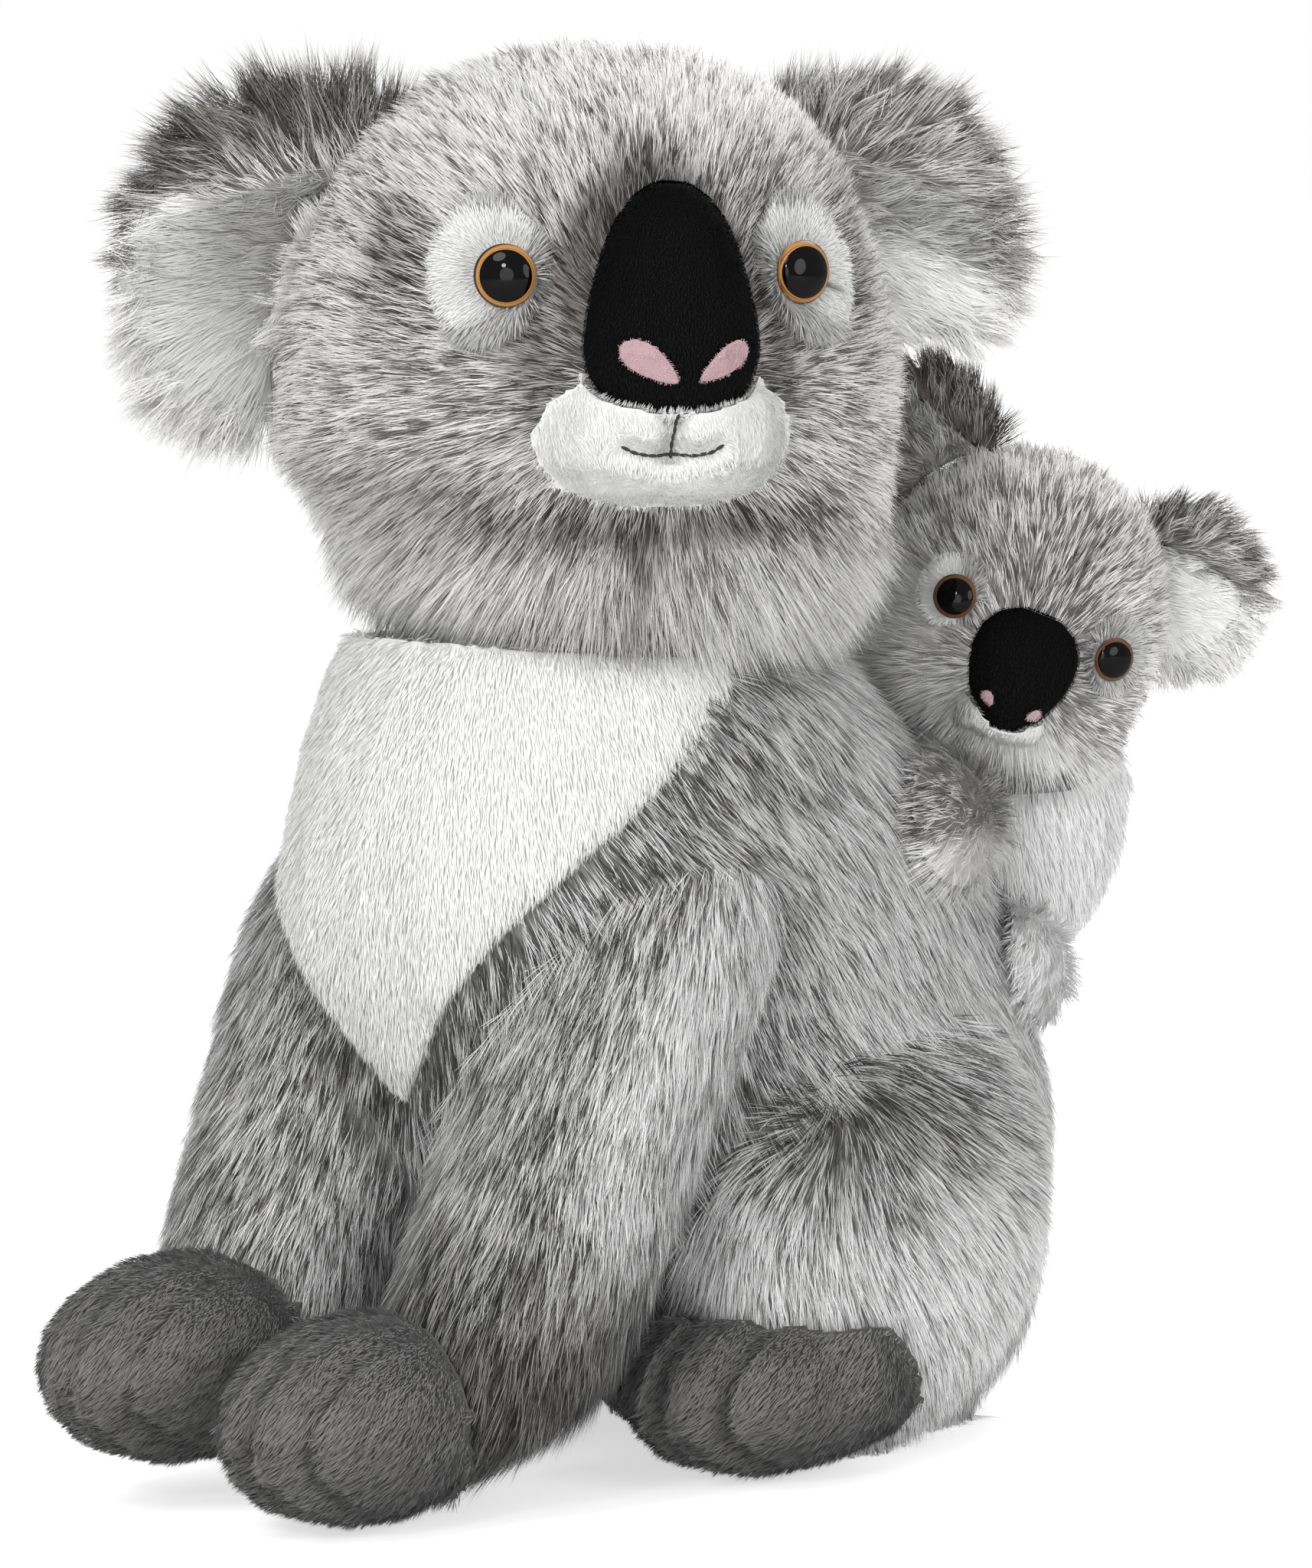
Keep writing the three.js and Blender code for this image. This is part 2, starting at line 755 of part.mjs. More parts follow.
// One head with all that is sewn to it. Extra cuts are in the frame of the whole toy.
function addHead(h, eyeMaterial, cutter) {
  const group = new THREE.Group();
  const matrix = headMatrix(h);
  group.applyMatrix4(matrix);
  koala.add(group);

  let head = headCore(h, 0).add(snoutForm(h, 0));
  if (cutter) head = head.subtract(moved(cutter, matrix.clone().invert()));

  const headGrown = headCore(h, seamGap).add(snoutForm(h, seamGap));
  const muzzle = muzzleForm(h, 0).subtract(headGrown).subtract(noseForm(h, seamGap));
  addMesh(group, `${h.prefix}muzzle`, muzzle, whitePlush);
  addMesh(group, `${h.prefix}nose`, noseForm(h, 0).subtract(headGrown), blackPlush);

  for (const [sideName, side] of [["left", 1], ["right", -1]]) {
    const inner = seamGap;
    const nostril = nostrilSolid(h, side, inner, inner + nostrilThickness);
    addMesh(group, `${h.prefix}nostril_${sideName}`, nostril, pinkFelt);

    const frame = eyeFrame(h, side);
    const eye = moved(eyeSolid(h), frame);
    const washer = moved(washerSolid(h, 0), frame).subtract(moved(shankBore(h, seamGap), frame));
    addMesh(group, `${h.prefix}eye_${sideName}`, eye, eyeMaterial);
    addMesh(group, `${h.prefix}eye_${sideName}_washer`, washer, washerPlastic);
    head = head.subtract(moved(washerSolid(h, seamGap), frame));
    head = head.subtract(moved(shankBore(h, seamGap).add(eyeSeat(h)), frame));

    const oval = new THREE.CylinderGeometry(0.5, 0.5, h.eyeDiameter, 22);
    oval.scale(h.patchWidth, 1, h.patchHeight);
    oval.translate(-side * h.patchOut, 0, h.patchRise);
    const patch = moved(solidOf(oval), frame)
      .intersect(headCore(h, seamGap + patchThickness))
      .subtract(headGrown)
      .subtract(noseForm(h, seamGap))
      .subtract(moved(shankBore(h, seamGap).add(eyeSeat(h)), frame));
    addMesh(group, `${h.prefix}eye_patch_${sideName}`, patch, whitePlush);

    head = addEar(h, group, head, side, sideName);
  }
  addMesh(group, `${h.prefix}head`, head, frostedGrey);
}

// Joey's body

function joeyLump(width, depth, height, place, tip, swing) {
  const lump = ellipsoid(width, depth, height, 16);
  const frame = new THREE.Object3D();
  frame.position.set(...joeyBodyAt.map((value, k) => value + place[k]));
  frame.rotation.set(0, THREE.MathUtils.degToRad(tip), THREE.MathUtils.degToRad(swing), "ZYX");
  frame.updateMatrix();
  return moved(lump, frame.matrix);
}

function addJoeyBody(torso) {
  const headGrown = headCore(joey, turnGap).add(snoutForm(joey, turnGap));
  const turns = [-joeyTurnLimit, 0, joeyTurnLimit].map((turn) => headGrown.rotate([0, 0, turn]));
  const headSocket = moved(wasm.Manifold.union(turns), headMatrix(joey));
  const bodySize = [joeyBodyWidth, joeyBodyDepth, joeyBodyHeight];
  const lean = [[0, 0, 0], joeyBodyTilt, joey.turn];
  const body = joeyLump(...bodySize, ...lean).subtract(torso).subtract(headSocket);
  const grownBody = joeyLump(...bodySize.map((value) => value + 2 * seamGap), ...lean);
  addMesh(koala, "joey_body", body, frostedGrey);
  const limbs = [
    ["arm", [joeyArmWidth, joeyArmLength, joeyArmHeight], joeyArmPlaces],
    ["leg", [joeyLegWidth, joeyLegLength, joeyLegHeight], joeyLegPlaces],
  ];
  for (const [limb, size, places] of limbs) {
    for (const [sideName, [out, forward, up, swing]] of Object.entries(places)) {
      const shape = joeyLump(...size, [out, -forward, up], 0, swing)
        .subtract(torso)
        .subtract(grownBody)
        .subtract(headSocket);
      addMesh(koala, `joey_${limb}_${sideName}`, shape, frostedGrey);
    }
  }
}

// The whole toy

function build() {
  const table = tableBlock();
  const neckAt = [0, -neckForward, neckHeight];
  const neckBall = (radius) =>
    solidOf(new THREE.IcosahedronGeometry(radius, 3)).translate(neckAt);
  const neckSocket = neckBall(neckRadius);
  addMesh(koala, "neck_fill", neckBall(neckRadius - neckPlay), whitePlush);

  const sweep = headSweep();
  const joeyNest = moved(headCore(joey, turnGap), headMatrix(joey));
  const outer = torsoForm(0).subtract(sweep).subtract(neckSocket).subtract(joeyNest);
  const bib = outer.intersect(bibCutter(0)).subtract(torsoForm(-bibThickness));
  const bibSeat = bibCutter(seamGap).subtract(torsoForm(-bibThickness - seamGap));
  addMesh(koala, "torso", outer.subtract(bibSeat).subtract(table), frostedGrey);
  addMesh(koala, "chest_panel", bib, whitePlush);

  const grownTorso = torsoForm(seamGap);
  for (const [sideName, side] of [["left", 1], ["right", -1]]) {
    const lift = side < 0 ? rightPawLift : 0;
    const arm = armForm(side, lift, 0).subtract(grownTorso).subtract(sweep).subtract(table);
    addMesh(koala, `arm_${sideName}`, arm, frostedGrey);
    const pawAt = [side * pawOut, -pawForward, pawHeight / 2 - tableCut + lift];
    const paw = pawForm(pawWidth, pawLength, pawHeight, pawAt)
      .subtract(armForm(side, lift, seamGap))
      .subtract(table);
    addMesh(koala, `paw_${sideName}`, paw, darkGrey);

    const haunch = haunchForm(side, 0).subtract(grownTorso).subtract(table);
    addMesh(koala, `haunch_${sideName}`, haunch, frostedGrey);
    const footAt = [side * footOut, -footForward, footHeight / 2 - tableCut];
    const foot = pawForm(footWidth, footLength, footHeight, footAt)
      .subtract(haunchForm(side, seamGap))
      .subtract(armForm(side, lift, seamGap))
      .subtract(grownTorso)
      .subtract(table);
    addMesh(koala, `foot_${sideName}`, foot, darkGrey);
  }

  addHead(mother, amberEye, neckSocket);
  addHead(joey, brownEye);
  addJoeyBody(grownTorso);
}

build();

export default koala;
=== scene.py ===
"""Looks of a plush koala with a joey on its back: skins, pile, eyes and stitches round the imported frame."""

import math

import bmesh
import bpy
import numpy as np
from mathutils import Matrix, Vector
from mathutils.bvhtree import BVHTree


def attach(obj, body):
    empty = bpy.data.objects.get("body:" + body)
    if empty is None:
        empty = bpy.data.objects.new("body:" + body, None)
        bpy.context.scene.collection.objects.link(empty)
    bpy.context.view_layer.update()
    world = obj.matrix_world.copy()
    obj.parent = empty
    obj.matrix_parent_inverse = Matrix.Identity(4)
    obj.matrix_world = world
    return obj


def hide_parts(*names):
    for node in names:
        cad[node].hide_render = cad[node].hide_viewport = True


MM = 0.001
SIDES = ((1, "left"), (-1, "right"))
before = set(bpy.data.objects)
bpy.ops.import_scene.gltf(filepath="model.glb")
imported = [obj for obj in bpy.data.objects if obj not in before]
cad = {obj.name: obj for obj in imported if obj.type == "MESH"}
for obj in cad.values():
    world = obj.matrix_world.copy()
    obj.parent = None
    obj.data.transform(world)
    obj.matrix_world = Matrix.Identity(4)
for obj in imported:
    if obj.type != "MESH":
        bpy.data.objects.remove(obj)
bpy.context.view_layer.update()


# Camera, lamps, floor and background

def add_object(name, mesh):
    """Puts a new object in the scene."""
    obj = bpy.data.objects.new(name, mesh)
    bpy.context.scene.collection.objects.link(obj)
    return obj


def place_camera(target, azimuth, elevation, distance, lens):
    """A camera at a distance from its target, in metres, with its two angles in degrees."""
    a, e = math.radians(azimuth), math.radians(elevation)
    away = Vector((math.sin(a) * math.cos(e), -math.cos(a) * math.cos(e), math.sin(e)))
    data = bpy.data.cameras.new("photo_view")
    data.lens, data.sensor_width = lens, 36
    data.clip_end = 20
    camera = add_object("photo_view", data)
    camera.location = Vector(target) + away * distance
    camera.rotation_euler = away.to_track_quat("Z", "Y").to_euler()
    bpy.context.scene.camera = camera


def lamp(name, at, size, watts, target=(0, -0.06, 0.16)):
    """A round soft lamp that faces the toy."""
    data = bpy.data.lights.new(name, "AREA")
    data.shape, data.size, data.energy = "DISK", size, watts
    obj = add_object(name, data)
    obj.location = at
    obj.rotation_euler = (Vector(at) - Vector(target)).to_track_quat("Z", "Y").to_euler()


def light_background(world_light):
    """A white backdrop where it is seen directly, and a plain even light for the rest."""
    world = bpy.data.worlds.new("studio")
    bpy.context.scene.world = world
    world.use_nodes = True
    tree = world.node_tree
    background = tree.nodes["Background"]
    seen = seen_directly(tree)
    strength = tree.nodes.new("ShaderNodeMapRange")
    strength.inputs["To Min"].default_value = world_light
    strength.inputs["To Max"].default_value = 1
    tree.links.new(seen, strength.inputs["Value"])
    tree.links.new(strength.outputs["Result"], background.inputs["Strength"])
    background.inputs["Color"].default_value = (1, 1, 1, 1)


def seen_directly(tree):
    """1 for what the camera sees, itself or through glass, and 0 for other light."""
    path = tree.nodes.new("ShaderNodeLightPath")
    larger = tree.nodes.new("ShaderNodeMath")
    larger.operation = "MAXIMUM"
    tree.links.new(path.outputs["Is Camera Ray"], larger.inputs[0])
    tree.links.new(path.outputs["Is Transmission Ray"], larger.inputs[1])
    return larger.outputs[0]


def pale_floor(paint_shade=0.8, own_light=0.62, reach=6):
    """White where it is lit, with the soft shadow that the toy throws on it."""
    material = bpy.data.materials.new("pale_floor")
    material.use_nodes = True
    tree = material.node_tree
    tree.nodes.clear()
    out = tree.nodes.new("ShaderNodeOutputMaterial")
    paint = tree.nodes.new("ShaderNodeBsdfDiffuse")
    paint.inputs["Color"].default_value = (paint_shade, paint_shade, paint_shade, 1)
    glow = tree.nodes.new("ShaderNodeEmission")
    lift = tree.nodes.new("ShaderNodeMath")
    lift.operation = "MULTIPLY"
    lift.inputs[1].default_value = own_light
    both = tree.nodes.new("ShaderNodeAddShader")
    tree.links.new(seen_directly(tree), lift.inputs[0])
    tree.links.new(lift.outputs[0], glow.inputs["Strength"])
    tree.links.new(paint.outputs[0], both.inputs[0])
    tree.links.new(glow.outputs[0], both.inputs[1])
    tree.links.new(both.outputs[0], out.inputs["Surface"])
    mesh = bpy.data.meshes.new("floor")
    corners = [(x * reach, y * reach, 0) for x, y in ((-1, -1), (1, -1), (1, 1), (-1, 1))]
    mesh.from_pydata(corners, [], [(0, 1, 2, 3)])
    floor = add_object("floor", mesh)
    mesh.materials.append(material)


place_camera(target=(0, -0.060, 0.1625), azimuth=42, elevation=6, distance=2.2, lens=206)
light_background(0.55)
pale_floor()
lamp("key", (0.15, -1.5, 1.5), 0.9, 13)
lamp("low", (0.9, -1.7, 0.3), 0.9, 6)
lamp("fill", (1.7, -0.2, 0.6), 1.0, 10)
lamp("eye_light", (0.75, -1.9, 0.95), 0.3, 8)
lamp("back", (-0.6, 1.3, 1.4), 1.0, 16)
bpy.context.scene.view_settings.view_transform = "Standard"


# Node trees as sums and products

class Field:
    """A socket of a node tree that adds and multiplies like a number or a vector."""

    def __init__(self, tree, socket):
        self.tree, self.socket = tree, socket
        self.vector = socket.type in ("VECTOR", "RGBA")

    def apply(self, operation, other=None):
        vector = self.vector or getattr(other, "vector", False)
        if vector and operation == "MULTIPLY" and not getattr(other, "vector", isinstance(other, tuple)):
            return use(self.tree, "ShaderNodeVectorMath", "Vector", {"operation": "SCALE"},
                       Vector=self, Scale=other)
        kind = "ShaderNodeVectorMath" if vector else "ShaderNodeMath"
        node = self.tree.nodes.new(kind)
        node.operation = operation
        give(self.tree, node.inputs[0], self)
        if other is not None:
            give(self.tree, node.inputs[1], other)
        return Field(self.tree, next(s for s in node.outputs if s.enabled))

    def __add__(self, other):
        return self.apply("ADD", other)

    def __sub__(self, other):
        return self.apply("SUBTRACT", other)

    def __mul__(self, other):
        return self.apply("MULTIPLY", other)

    def unit(self):
        return self.apply("NORMALIZE")

    def cross(self, other):
        return self.apply("CROSS_PRODUCT", other)

    def at_least(self, other):
        return self.apply("MAXIMUM", other)


def give(tree, socket, value):
    """Links a field to a socket, or sets the socket's own value."""
    if isinstance(value, Field):
        tree.links.new(value.socket, socket)
    else:
        socket.default_value = value


def use(tree, kind, output, settings=None, **inputs):
    """Adds a node with its settings and inputs, and gives one output of it."""
    node = tree.nodes.new(kind)
    for key, value in (settings or {}).items():
        setattr(node, key, value)
    for key, value in inputs.items():
        name = key.replace("_", " ")
        give(tree, next(s for s in node.inputs if s.name == name and s.enabled), value)
    return Field(tree, next(s for s in node.outputs if s.name == output and s.enabled))


def mesh_tree(name, sizes):
    """A Geometry Nodes tree with a mesh, named sizes and a material going in, and a mesh coming out."""
    tree = bpy.data.node_groups.new(name, "GeometryNodeTree")
    sockets = tree.interface
    sockets.new_socket("Geometry", in_out="INPUT", socket_type="NodeSocketGeometry")
    for label, value in sizes:
        kind = "NodeSocketInt" if isinstance(value, int) else "NodeSocketFloat"
        sockets.new_socket(label, in_out="INPUT", socket_type=kind).default_value = value
    sockets.new_socket("Material", in_out="INPUT", socket_type="NodeSocketMaterial")
    sockets.new_socket("Geometry", in_out="OUTPUT", socket_type="NodeSocketGeometry")
    start = tree.nodes.new("NodeGroupInput")
    return tree, {s.name: Field(tree, s) for s in start.outputs if s.name}


def end_tree(tree, made, given):
    """A tree ends by giving its mesh the material."""
    made = use(tree, "GeometryNodeSetMaterial", "Geometry", Geometry=made, Material=given["Material"])
    give(tree, tree.nodes.new("NodeGroupOutput").inputs["Geometry"], made)
    return tree


def evaluated(obj):
    """A new mesh of the object as its modifiers leave it."""
    graph = bpy.context.evaluated_depsgraph_get()
    return bpy.data.meshes.new_from_object(obj.evaluated_get(graph), depsgraph=graph)


def made_by(tree, obj, **values):
    """The plain mesh that a tree makes of an object. Its inputs are set before it is first evaluated."""
    modifier = obj.modifiers.new(tree.name, "NODES")
    modifier.node_group = tree
    for item in tree.interface.items_tree:
        if item.in_out == "INPUT" and item.name in values:
            modifier[item.identifier] = values[item.name]
    mesh = evaluated(obj)
    obj.modifiers.clear()
    return mesh


# The pile: strands planted on a skin by a Geometry Nodes tree

PILE_INPUTS = (("Strands", 3e6), ("Tufts", 1.6e5), ("Width", 0.2e-3), ("Pull", 0.6), ("Tousle", 0.12),
               ("Stray", 0.1), ("Droop", 0.1), ("Sway", 0.5), ("Sway size", 0.022), ("Uneven", 0.16),
               ("Speck size", 0.0017), ("Patch size", 0.016), ("Spread", 1.0), ("Segments", 2), ("Seed", 1))
PER_POINT = ("comb", "pile", "thick", "rise", "tone", "tick", "depth")
HIGHEST_FLOOR = 0.3e-3  # metres: no strand dips below this height


def pile_tree():
    """Strands of a few flat segments. The skin gives the PER_POINT values of the pile at each vertex."""
    tree, given = mesh_tree("pile", PILE_INPUTS)

    def named(name, kind="FLOAT"):
        return use(tree, "GeometryNodeInputNamedAttribute", "Attribute", {"data_type": kind}, Name=name)

    def chance(seed, low, high, kind="FLOAT"):
        return use(tree, "FunctionNodeRandomValue", "Value", {"data_type": kind}, Min=low, Max=high,
                   Seed=given["Seed"] + seed if seed else given["Seed"])

    def planted(density, seed):
        node = tree.nodes.new("GeometryNodeDistributePointsOnFaces")
        give(tree, node.inputs["Mesh"], given["Geometry"])
        give(tree, next(s for s in node.inputs if s.name == "Density" and s.enabled), density)
        give(tree, node.inputs["Seed"], given["Seed"] + seed)
        return Field(tree, node.outputs["Points"]), Field(tree, node.outputs["Normal"])

    def around(seed):
        return chance(seed, (-1, -1, -1), (1, 1, 1), "FLOAT_VECTOR")

    def cloud(output, size, detail):
        return use(tree, "ShaderNodeTexNoise", output, Scale=one * size.apply("POWER", -1.0),
                   Detail=float(detail))

    one = use(tree, "ShaderNodeValue", "Value")
    one.socket.default_value = 1.0
    roots, normal = planted(given["Strands"] * named("thick"), 1)
    tufts, _ = planted(given["Tufts"], 2)
    place = use(tree, "GeometryNodeInputPosition", "Position")
    nearest = use(tree, "GeometryNodeSampleNearest", "Index", Geometry=tufts, Sample_Position=place)

    def of_tuft(value, kind):
        return use(tree, "GeometryNodeSampleIndex", "Value", {"data_type": kind}, Geometry=tufts,
                   Value=value, Index=nearest)

    tuft_place = of_tuft(place, "FLOAT_VECTOR")
    tuft_lean = of_tuft(around(11), "FLOAT_VECTOR")
    tuft_shade = of_tuft(chance(12, 0.0, 1.0), "FLOAT")
    lean = around(3)
    comb, rise = named("comb", "FLOAT_VECTOR"), named("rise")
    length = named("pile") * (chance(4, 0.72, 1.12) + (tuft_shade - 0.5) * given["Uneven"] + 0.06)
    sway = (cloud("Color", given["Sway size"], 0) - (0.5, 0.5, 0.5)) * given["Sway"]
    base = (normal * rise + comb * (rise * -1.0 + 1.0) + sway * 0.6 + tuft_lean * given["Tousle"]
            + lean * given["Stray"]).unit()
    tip = (comb * (rise * -0.6 + 1.1) + normal * (rise * 0.8) + sway + tuft_lean * (given["Tousle"] * 1.5)
           + lean * (given["Stray"] * 1.6)
           - use(tree, "ShaderNodeCombineXYZ", "Vector", Z=given["Droop"])).unit()
    side = (base.cross(normal) + around(5) * 0.35).unit()
    # Strands are dark tipped in small specks, as many as the skin's tick value asks for.
    speck = ((cloud("Fac", given["Speck size"], 0) - 0.5) * 2.6
             + (cloud("Fac", given["Patch size"], 1) - 0.5) * 0.8 + 0.5 + chance(6, -0.08, 0.08))
    dark = use(tree, "ShaderNodeMath", "Value", {"operation": "LESS_THAN"})
    give(tree, dark.socket.node.inputs[0], speck)
    give(tree, dark.socket.node.inputs[1], named("tick"))
    tone = (named("tone") + (chance(7, -0.13, 0.13) + (tuft_shade - 0.5) * 0.16) * given["Spread"]
            - dark * named("depth") * chance(8, 0.6, 1.0))
    tone = use(tree, "ShaderNodeClamp", "Result", Value=tone, Min=0.02, Max=0.98)
    width = given["Width"] * (named("thick") * -0.9 + 1.9)

    hold = tree.nodes.new("GeometryNodeCaptureAttribute")
    give(tree, hold.inputs["Geometry"], roots)
    kept = {}
    for name, value in (("root", place), ("base", base * length), ("tip", tip * length),
                        ("pull", (tuft_place - place) * given["Pull"]), ("side", side * width),
                        ("shine", (normal + lean * 0.2 + tuft_lean * 0.14).unit()), ("tone", tone)):
        item = hold.capture_items.new("VECTOR" if value.vector else "FLOAT", name)
        give(tree, hold.inputs[item.name], value)
        kept[name] = Field(tree, hold.outputs[item.name])

    # One flat strand, as wide as 1 and as long as 1, pointed at both ends
    grid = use(tree, "GeometryNodeMeshGrid", "Mesh", Size_X=1.0, Size_Y=1.0, Vertices_X=2,
               Vertices_Y=given["Segments"] + 1)
    split = tree.nodes.new("ShaderNodeSeparateXYZ")
    give(tree, split.inputs[0], place)
    across, along = Field(tree, split.outputs[0]), Field(tree, split.outputs[1]) + 0.5
    inside = use(tree, "ShaderNodeMath", "Value", {"operation": "COMPARE"})
    for i, value in enumerate((along, 0.5, 0.48)):
        give(tree, inside.socket.node.inputs[i], value)
    narrow = use(tree, "ShaderNodeCombineXYZ", "Vector", X=across * inside, Y=along)
    pointed = use(tree, "GeometryNodeSetPosition", "Geometry", Geometry=grid, Position=narrow)
    card = use(tree, "GeometryNodeMergeByDistance", "Geometry", Geometry=pointed, Distance=1e-4)
    mark = tree.nodes.new("GeometryNodeCaptureAttribute")
    give(tree, mark.inputs["Geometry"], card)
    item = mark.capture_items.new("VECTOR", "card")
    give(tree, mark.inputs[item.name], place)
    spot = tree.nodes.new("ShaderNodeSeparateXYZ")
    give(tree, spot.inputs[0], Field(tree, mark.outputs[item.name]))
    s, t = Field(tree, spot.outputs[0]), Field(tree, spot.outputs[1])

    planted_at, strand = (Field(tree, node.outputs["Geometry"]) for node in (hold, mark))
    copies = use(tree, "GeometryNodeInstanceOnPoints", "Instances", Points=planted_at, Instance=strand)
    strands = use(tree, "GeometryNodeRealizeInstances", "Geometry", Geometry=copies)
    half = t * t * 0.5
    path = (kept["root"] + kept["base"] * (t - half) + kept["tip"] * half + kept["pull"] * (t * t)
            + kept["side"] * s)
    above = tree.nodes.new("ShaderNodeSeparateXYZ")
    give(tree, above.inputs[0], path)
    x, y, z = (Field(tree, out) for out in above.outputs)
    path = use(tree, "ShaderNodeCombineXYZ", "Vector", X=x, Y=y, Z=z.at_least(HIGHEST_FLOOR))
    strands = use(tree, "GeometryNodeSetPosition", "Geometry", Geometry=strands, Position=path)
    strands = use(tree, "GeometryNodeSetMeshNormal", "Mesh", {"mode": "FREE", "domain": "POINT"},
                  Mesh=strands, Custom_Normal=kept["shine"])
    uv = use(tree, "ShaderNodeCombineXYZ", "Vector", X=kept["tone"] + s * 0.012, Y=t * 0.96 + 0.02)
    strands = use(tree, "GeometryNodeStoreNamedAttribute", "Geometry",
                  {"data_type": "FLOAT2", "domain": "CORNER"}, Geometry=strands, Name="UVMap", Value=uv)
    return end_tree(tree, strands, given)


PILE_TREE = pile_tree()


def grow_pile(skin, material, **settings):
    """The strands of one skin as a plain mesh."""
    carrier = add_object("carrier", skin.data.copy())
    mesh = made_by(PILE_TREE, carrier, Material=material, **settings)
    bpy.data.objects.remove(carrier)
    return mesh


# Skins

def merged_copy(name, nodes):
    """One mesh of copies of CAD nodes, with their doubles merged."""
    bm = bmesh.new()
    for node in nodes:
        bm.from_mesh(cad[node].data)
    bmesh.ops.remove_doubles(bm, verts=bm.verts, dist=1e-6)
    mesh = bpy.data.meshes.new(name)
    bm.to_mesh(mesh)
    bm.free()
    return add_object(name, mesh)


def soft_mesh(obj, cell, smoothing):
    """The object's mesh with even faces of one cell's size and softened edges."""
    remesh = obj.modifiers.new("even", "REMESH")
    remesh.mode, remesh.voxel_size = "VOXEL", cell * MM
    smooth = obj.modifiers.new("soften", "SMOOTH")
    smooth.factor, smooth.iterations = 0.5, smoothing
    return evaluated(obj)


def even_skin(name, node, cell, smoothing):
    """A stuffed skin, made from its CAD solid."""
    obj = merged_copy(name, [node])
    mesh = soft_mesh(obj, cell, smoothing)
    mesh.name = name
    obj.modifiers.clear()
    obj.data = mesh
    mesh.materials.clear()
    return obj


def coordinates(mesh):
    """The places of a mesh's vertices, one row each, in metres."""
    out = np.empty(len(mesh.vertices) * 3)
    mesh.vertices.foreach_get("co", out)
    return out.reshape(-1, 3)


def directions(mesh):
    """The normals of a mesh's vertices, one row each."""
    out = np.empty(len(mesh.vertices) * 3)
    mesh.vertex_normals.foreach_get("vector", out)
    return out.reshape(-1, 3)


def shape_of(mesh):
    """The places and faces of a mesh, as a search tree takes them."""
    return [v.co[:] for v in mesh.vertices], [tuple(f.vertices) for f in mesh.polygons]


def set_values(mesh, name, values):
    """Writes one number or one vector at each vertex."""
    values = np.asarray(values, dtype=np.float32)
    vector = values.ndim == 2
    attribute = mesh.attributes.new(name, "FLOAT_VECTOR" if vector else "FLOAT", "POINT")
    attribute.data.foreach_set("vector" if vector else "value", values.ravel())


def unit(v):
    """Vectors of length 1."""
    return v / np.maximum(np.linalg.norm(v, axis=-1, keepdims=True), 1e-9)


def along_surface(v, normals):
    """Directions laid flat on the surface that has these normals."""
    return unit(v - normals * (v * normals).sum(1, keepdims=True))


def smooth_step(x, low, high):
    """0 up to the low value, 1 from the high value on, and a soft rise between."""
    t = np.clip((x - low) / (high - low), 0, 1)
    return t * t * (3 - 2 * t)


def blob(p, centre, radii):
    """1 at the centre, falling to 0 a few radii away. Millimetres."""
    return np.exp(-(((p - np.array(centre)) / np.array(radii)) ** 2).sum(1))


def head_frame(at, turn, tilt):
    """A head's own frame: where its middle is, how far it is turned and how far it leans."""
    return (Matrix.Translation(Vector(at)) @ Matrix.Rotation(math.radians(turn), 4, "Z")
            @ Matrix.Rotation(math.radians(tilt), 4, "Y"))


MOTHER = head_frame((0, -85, 270), 56.5, 0)
JOEY = head_frame((30.5, 38.7, 200.5), 49.5, 22)


def local(points, matrix):
    """Points in metres, told in a head's own frame in millimetres."""
    inverse = np.array(matrix.inverted())
    return (points / MM) @ inverse[:3, :3].T + inverse[:3, 3]


def placed(p, matrix):
    """Points in a head's own frame, in millimetres, told in metres again."""
    return (p @ np.array(matrix)[:3, :3].T + np.array(matrix.translation)) * MM


# Materials

def new_material(name, **inputs):
    """A material, its node tree and its shader, with some inputs of the shader set."""
    material = bpy.data.materials.new(name)
    material.use_nodes = True
    tree = material.node_tree
    shader = tree.nodes["Principled BSDF"]
    for key, value in inputs.items():
        shader.inputs[key.replace("_", " ")].default_value = value
    return material, tree, shader


def map_of(tree):
    """Where each point is on the mesh's map."""
    uv = tree.nodes.new("ShaderNodeUVMap")
    uv.uv_map = "UVMap"
    return uv.outputs[0]


def colour_ramp(tree, source, stops):
    """Colours by place. The first two stops are the ends of the ramp."""
    ramp = tree.nodes.new("ShaderNodeValToRGB")
    for i, (place, shade) in enumerate(stops):
        element = ramp.color_ramp.elements[i] if i < 2 else ramp.color_ramp.elements.new(place)
        element.position, element.color = place, (*shade, 1)
    tree.links.new(source, ramp.inputs[0])
    return ramp.outputs["Color"]


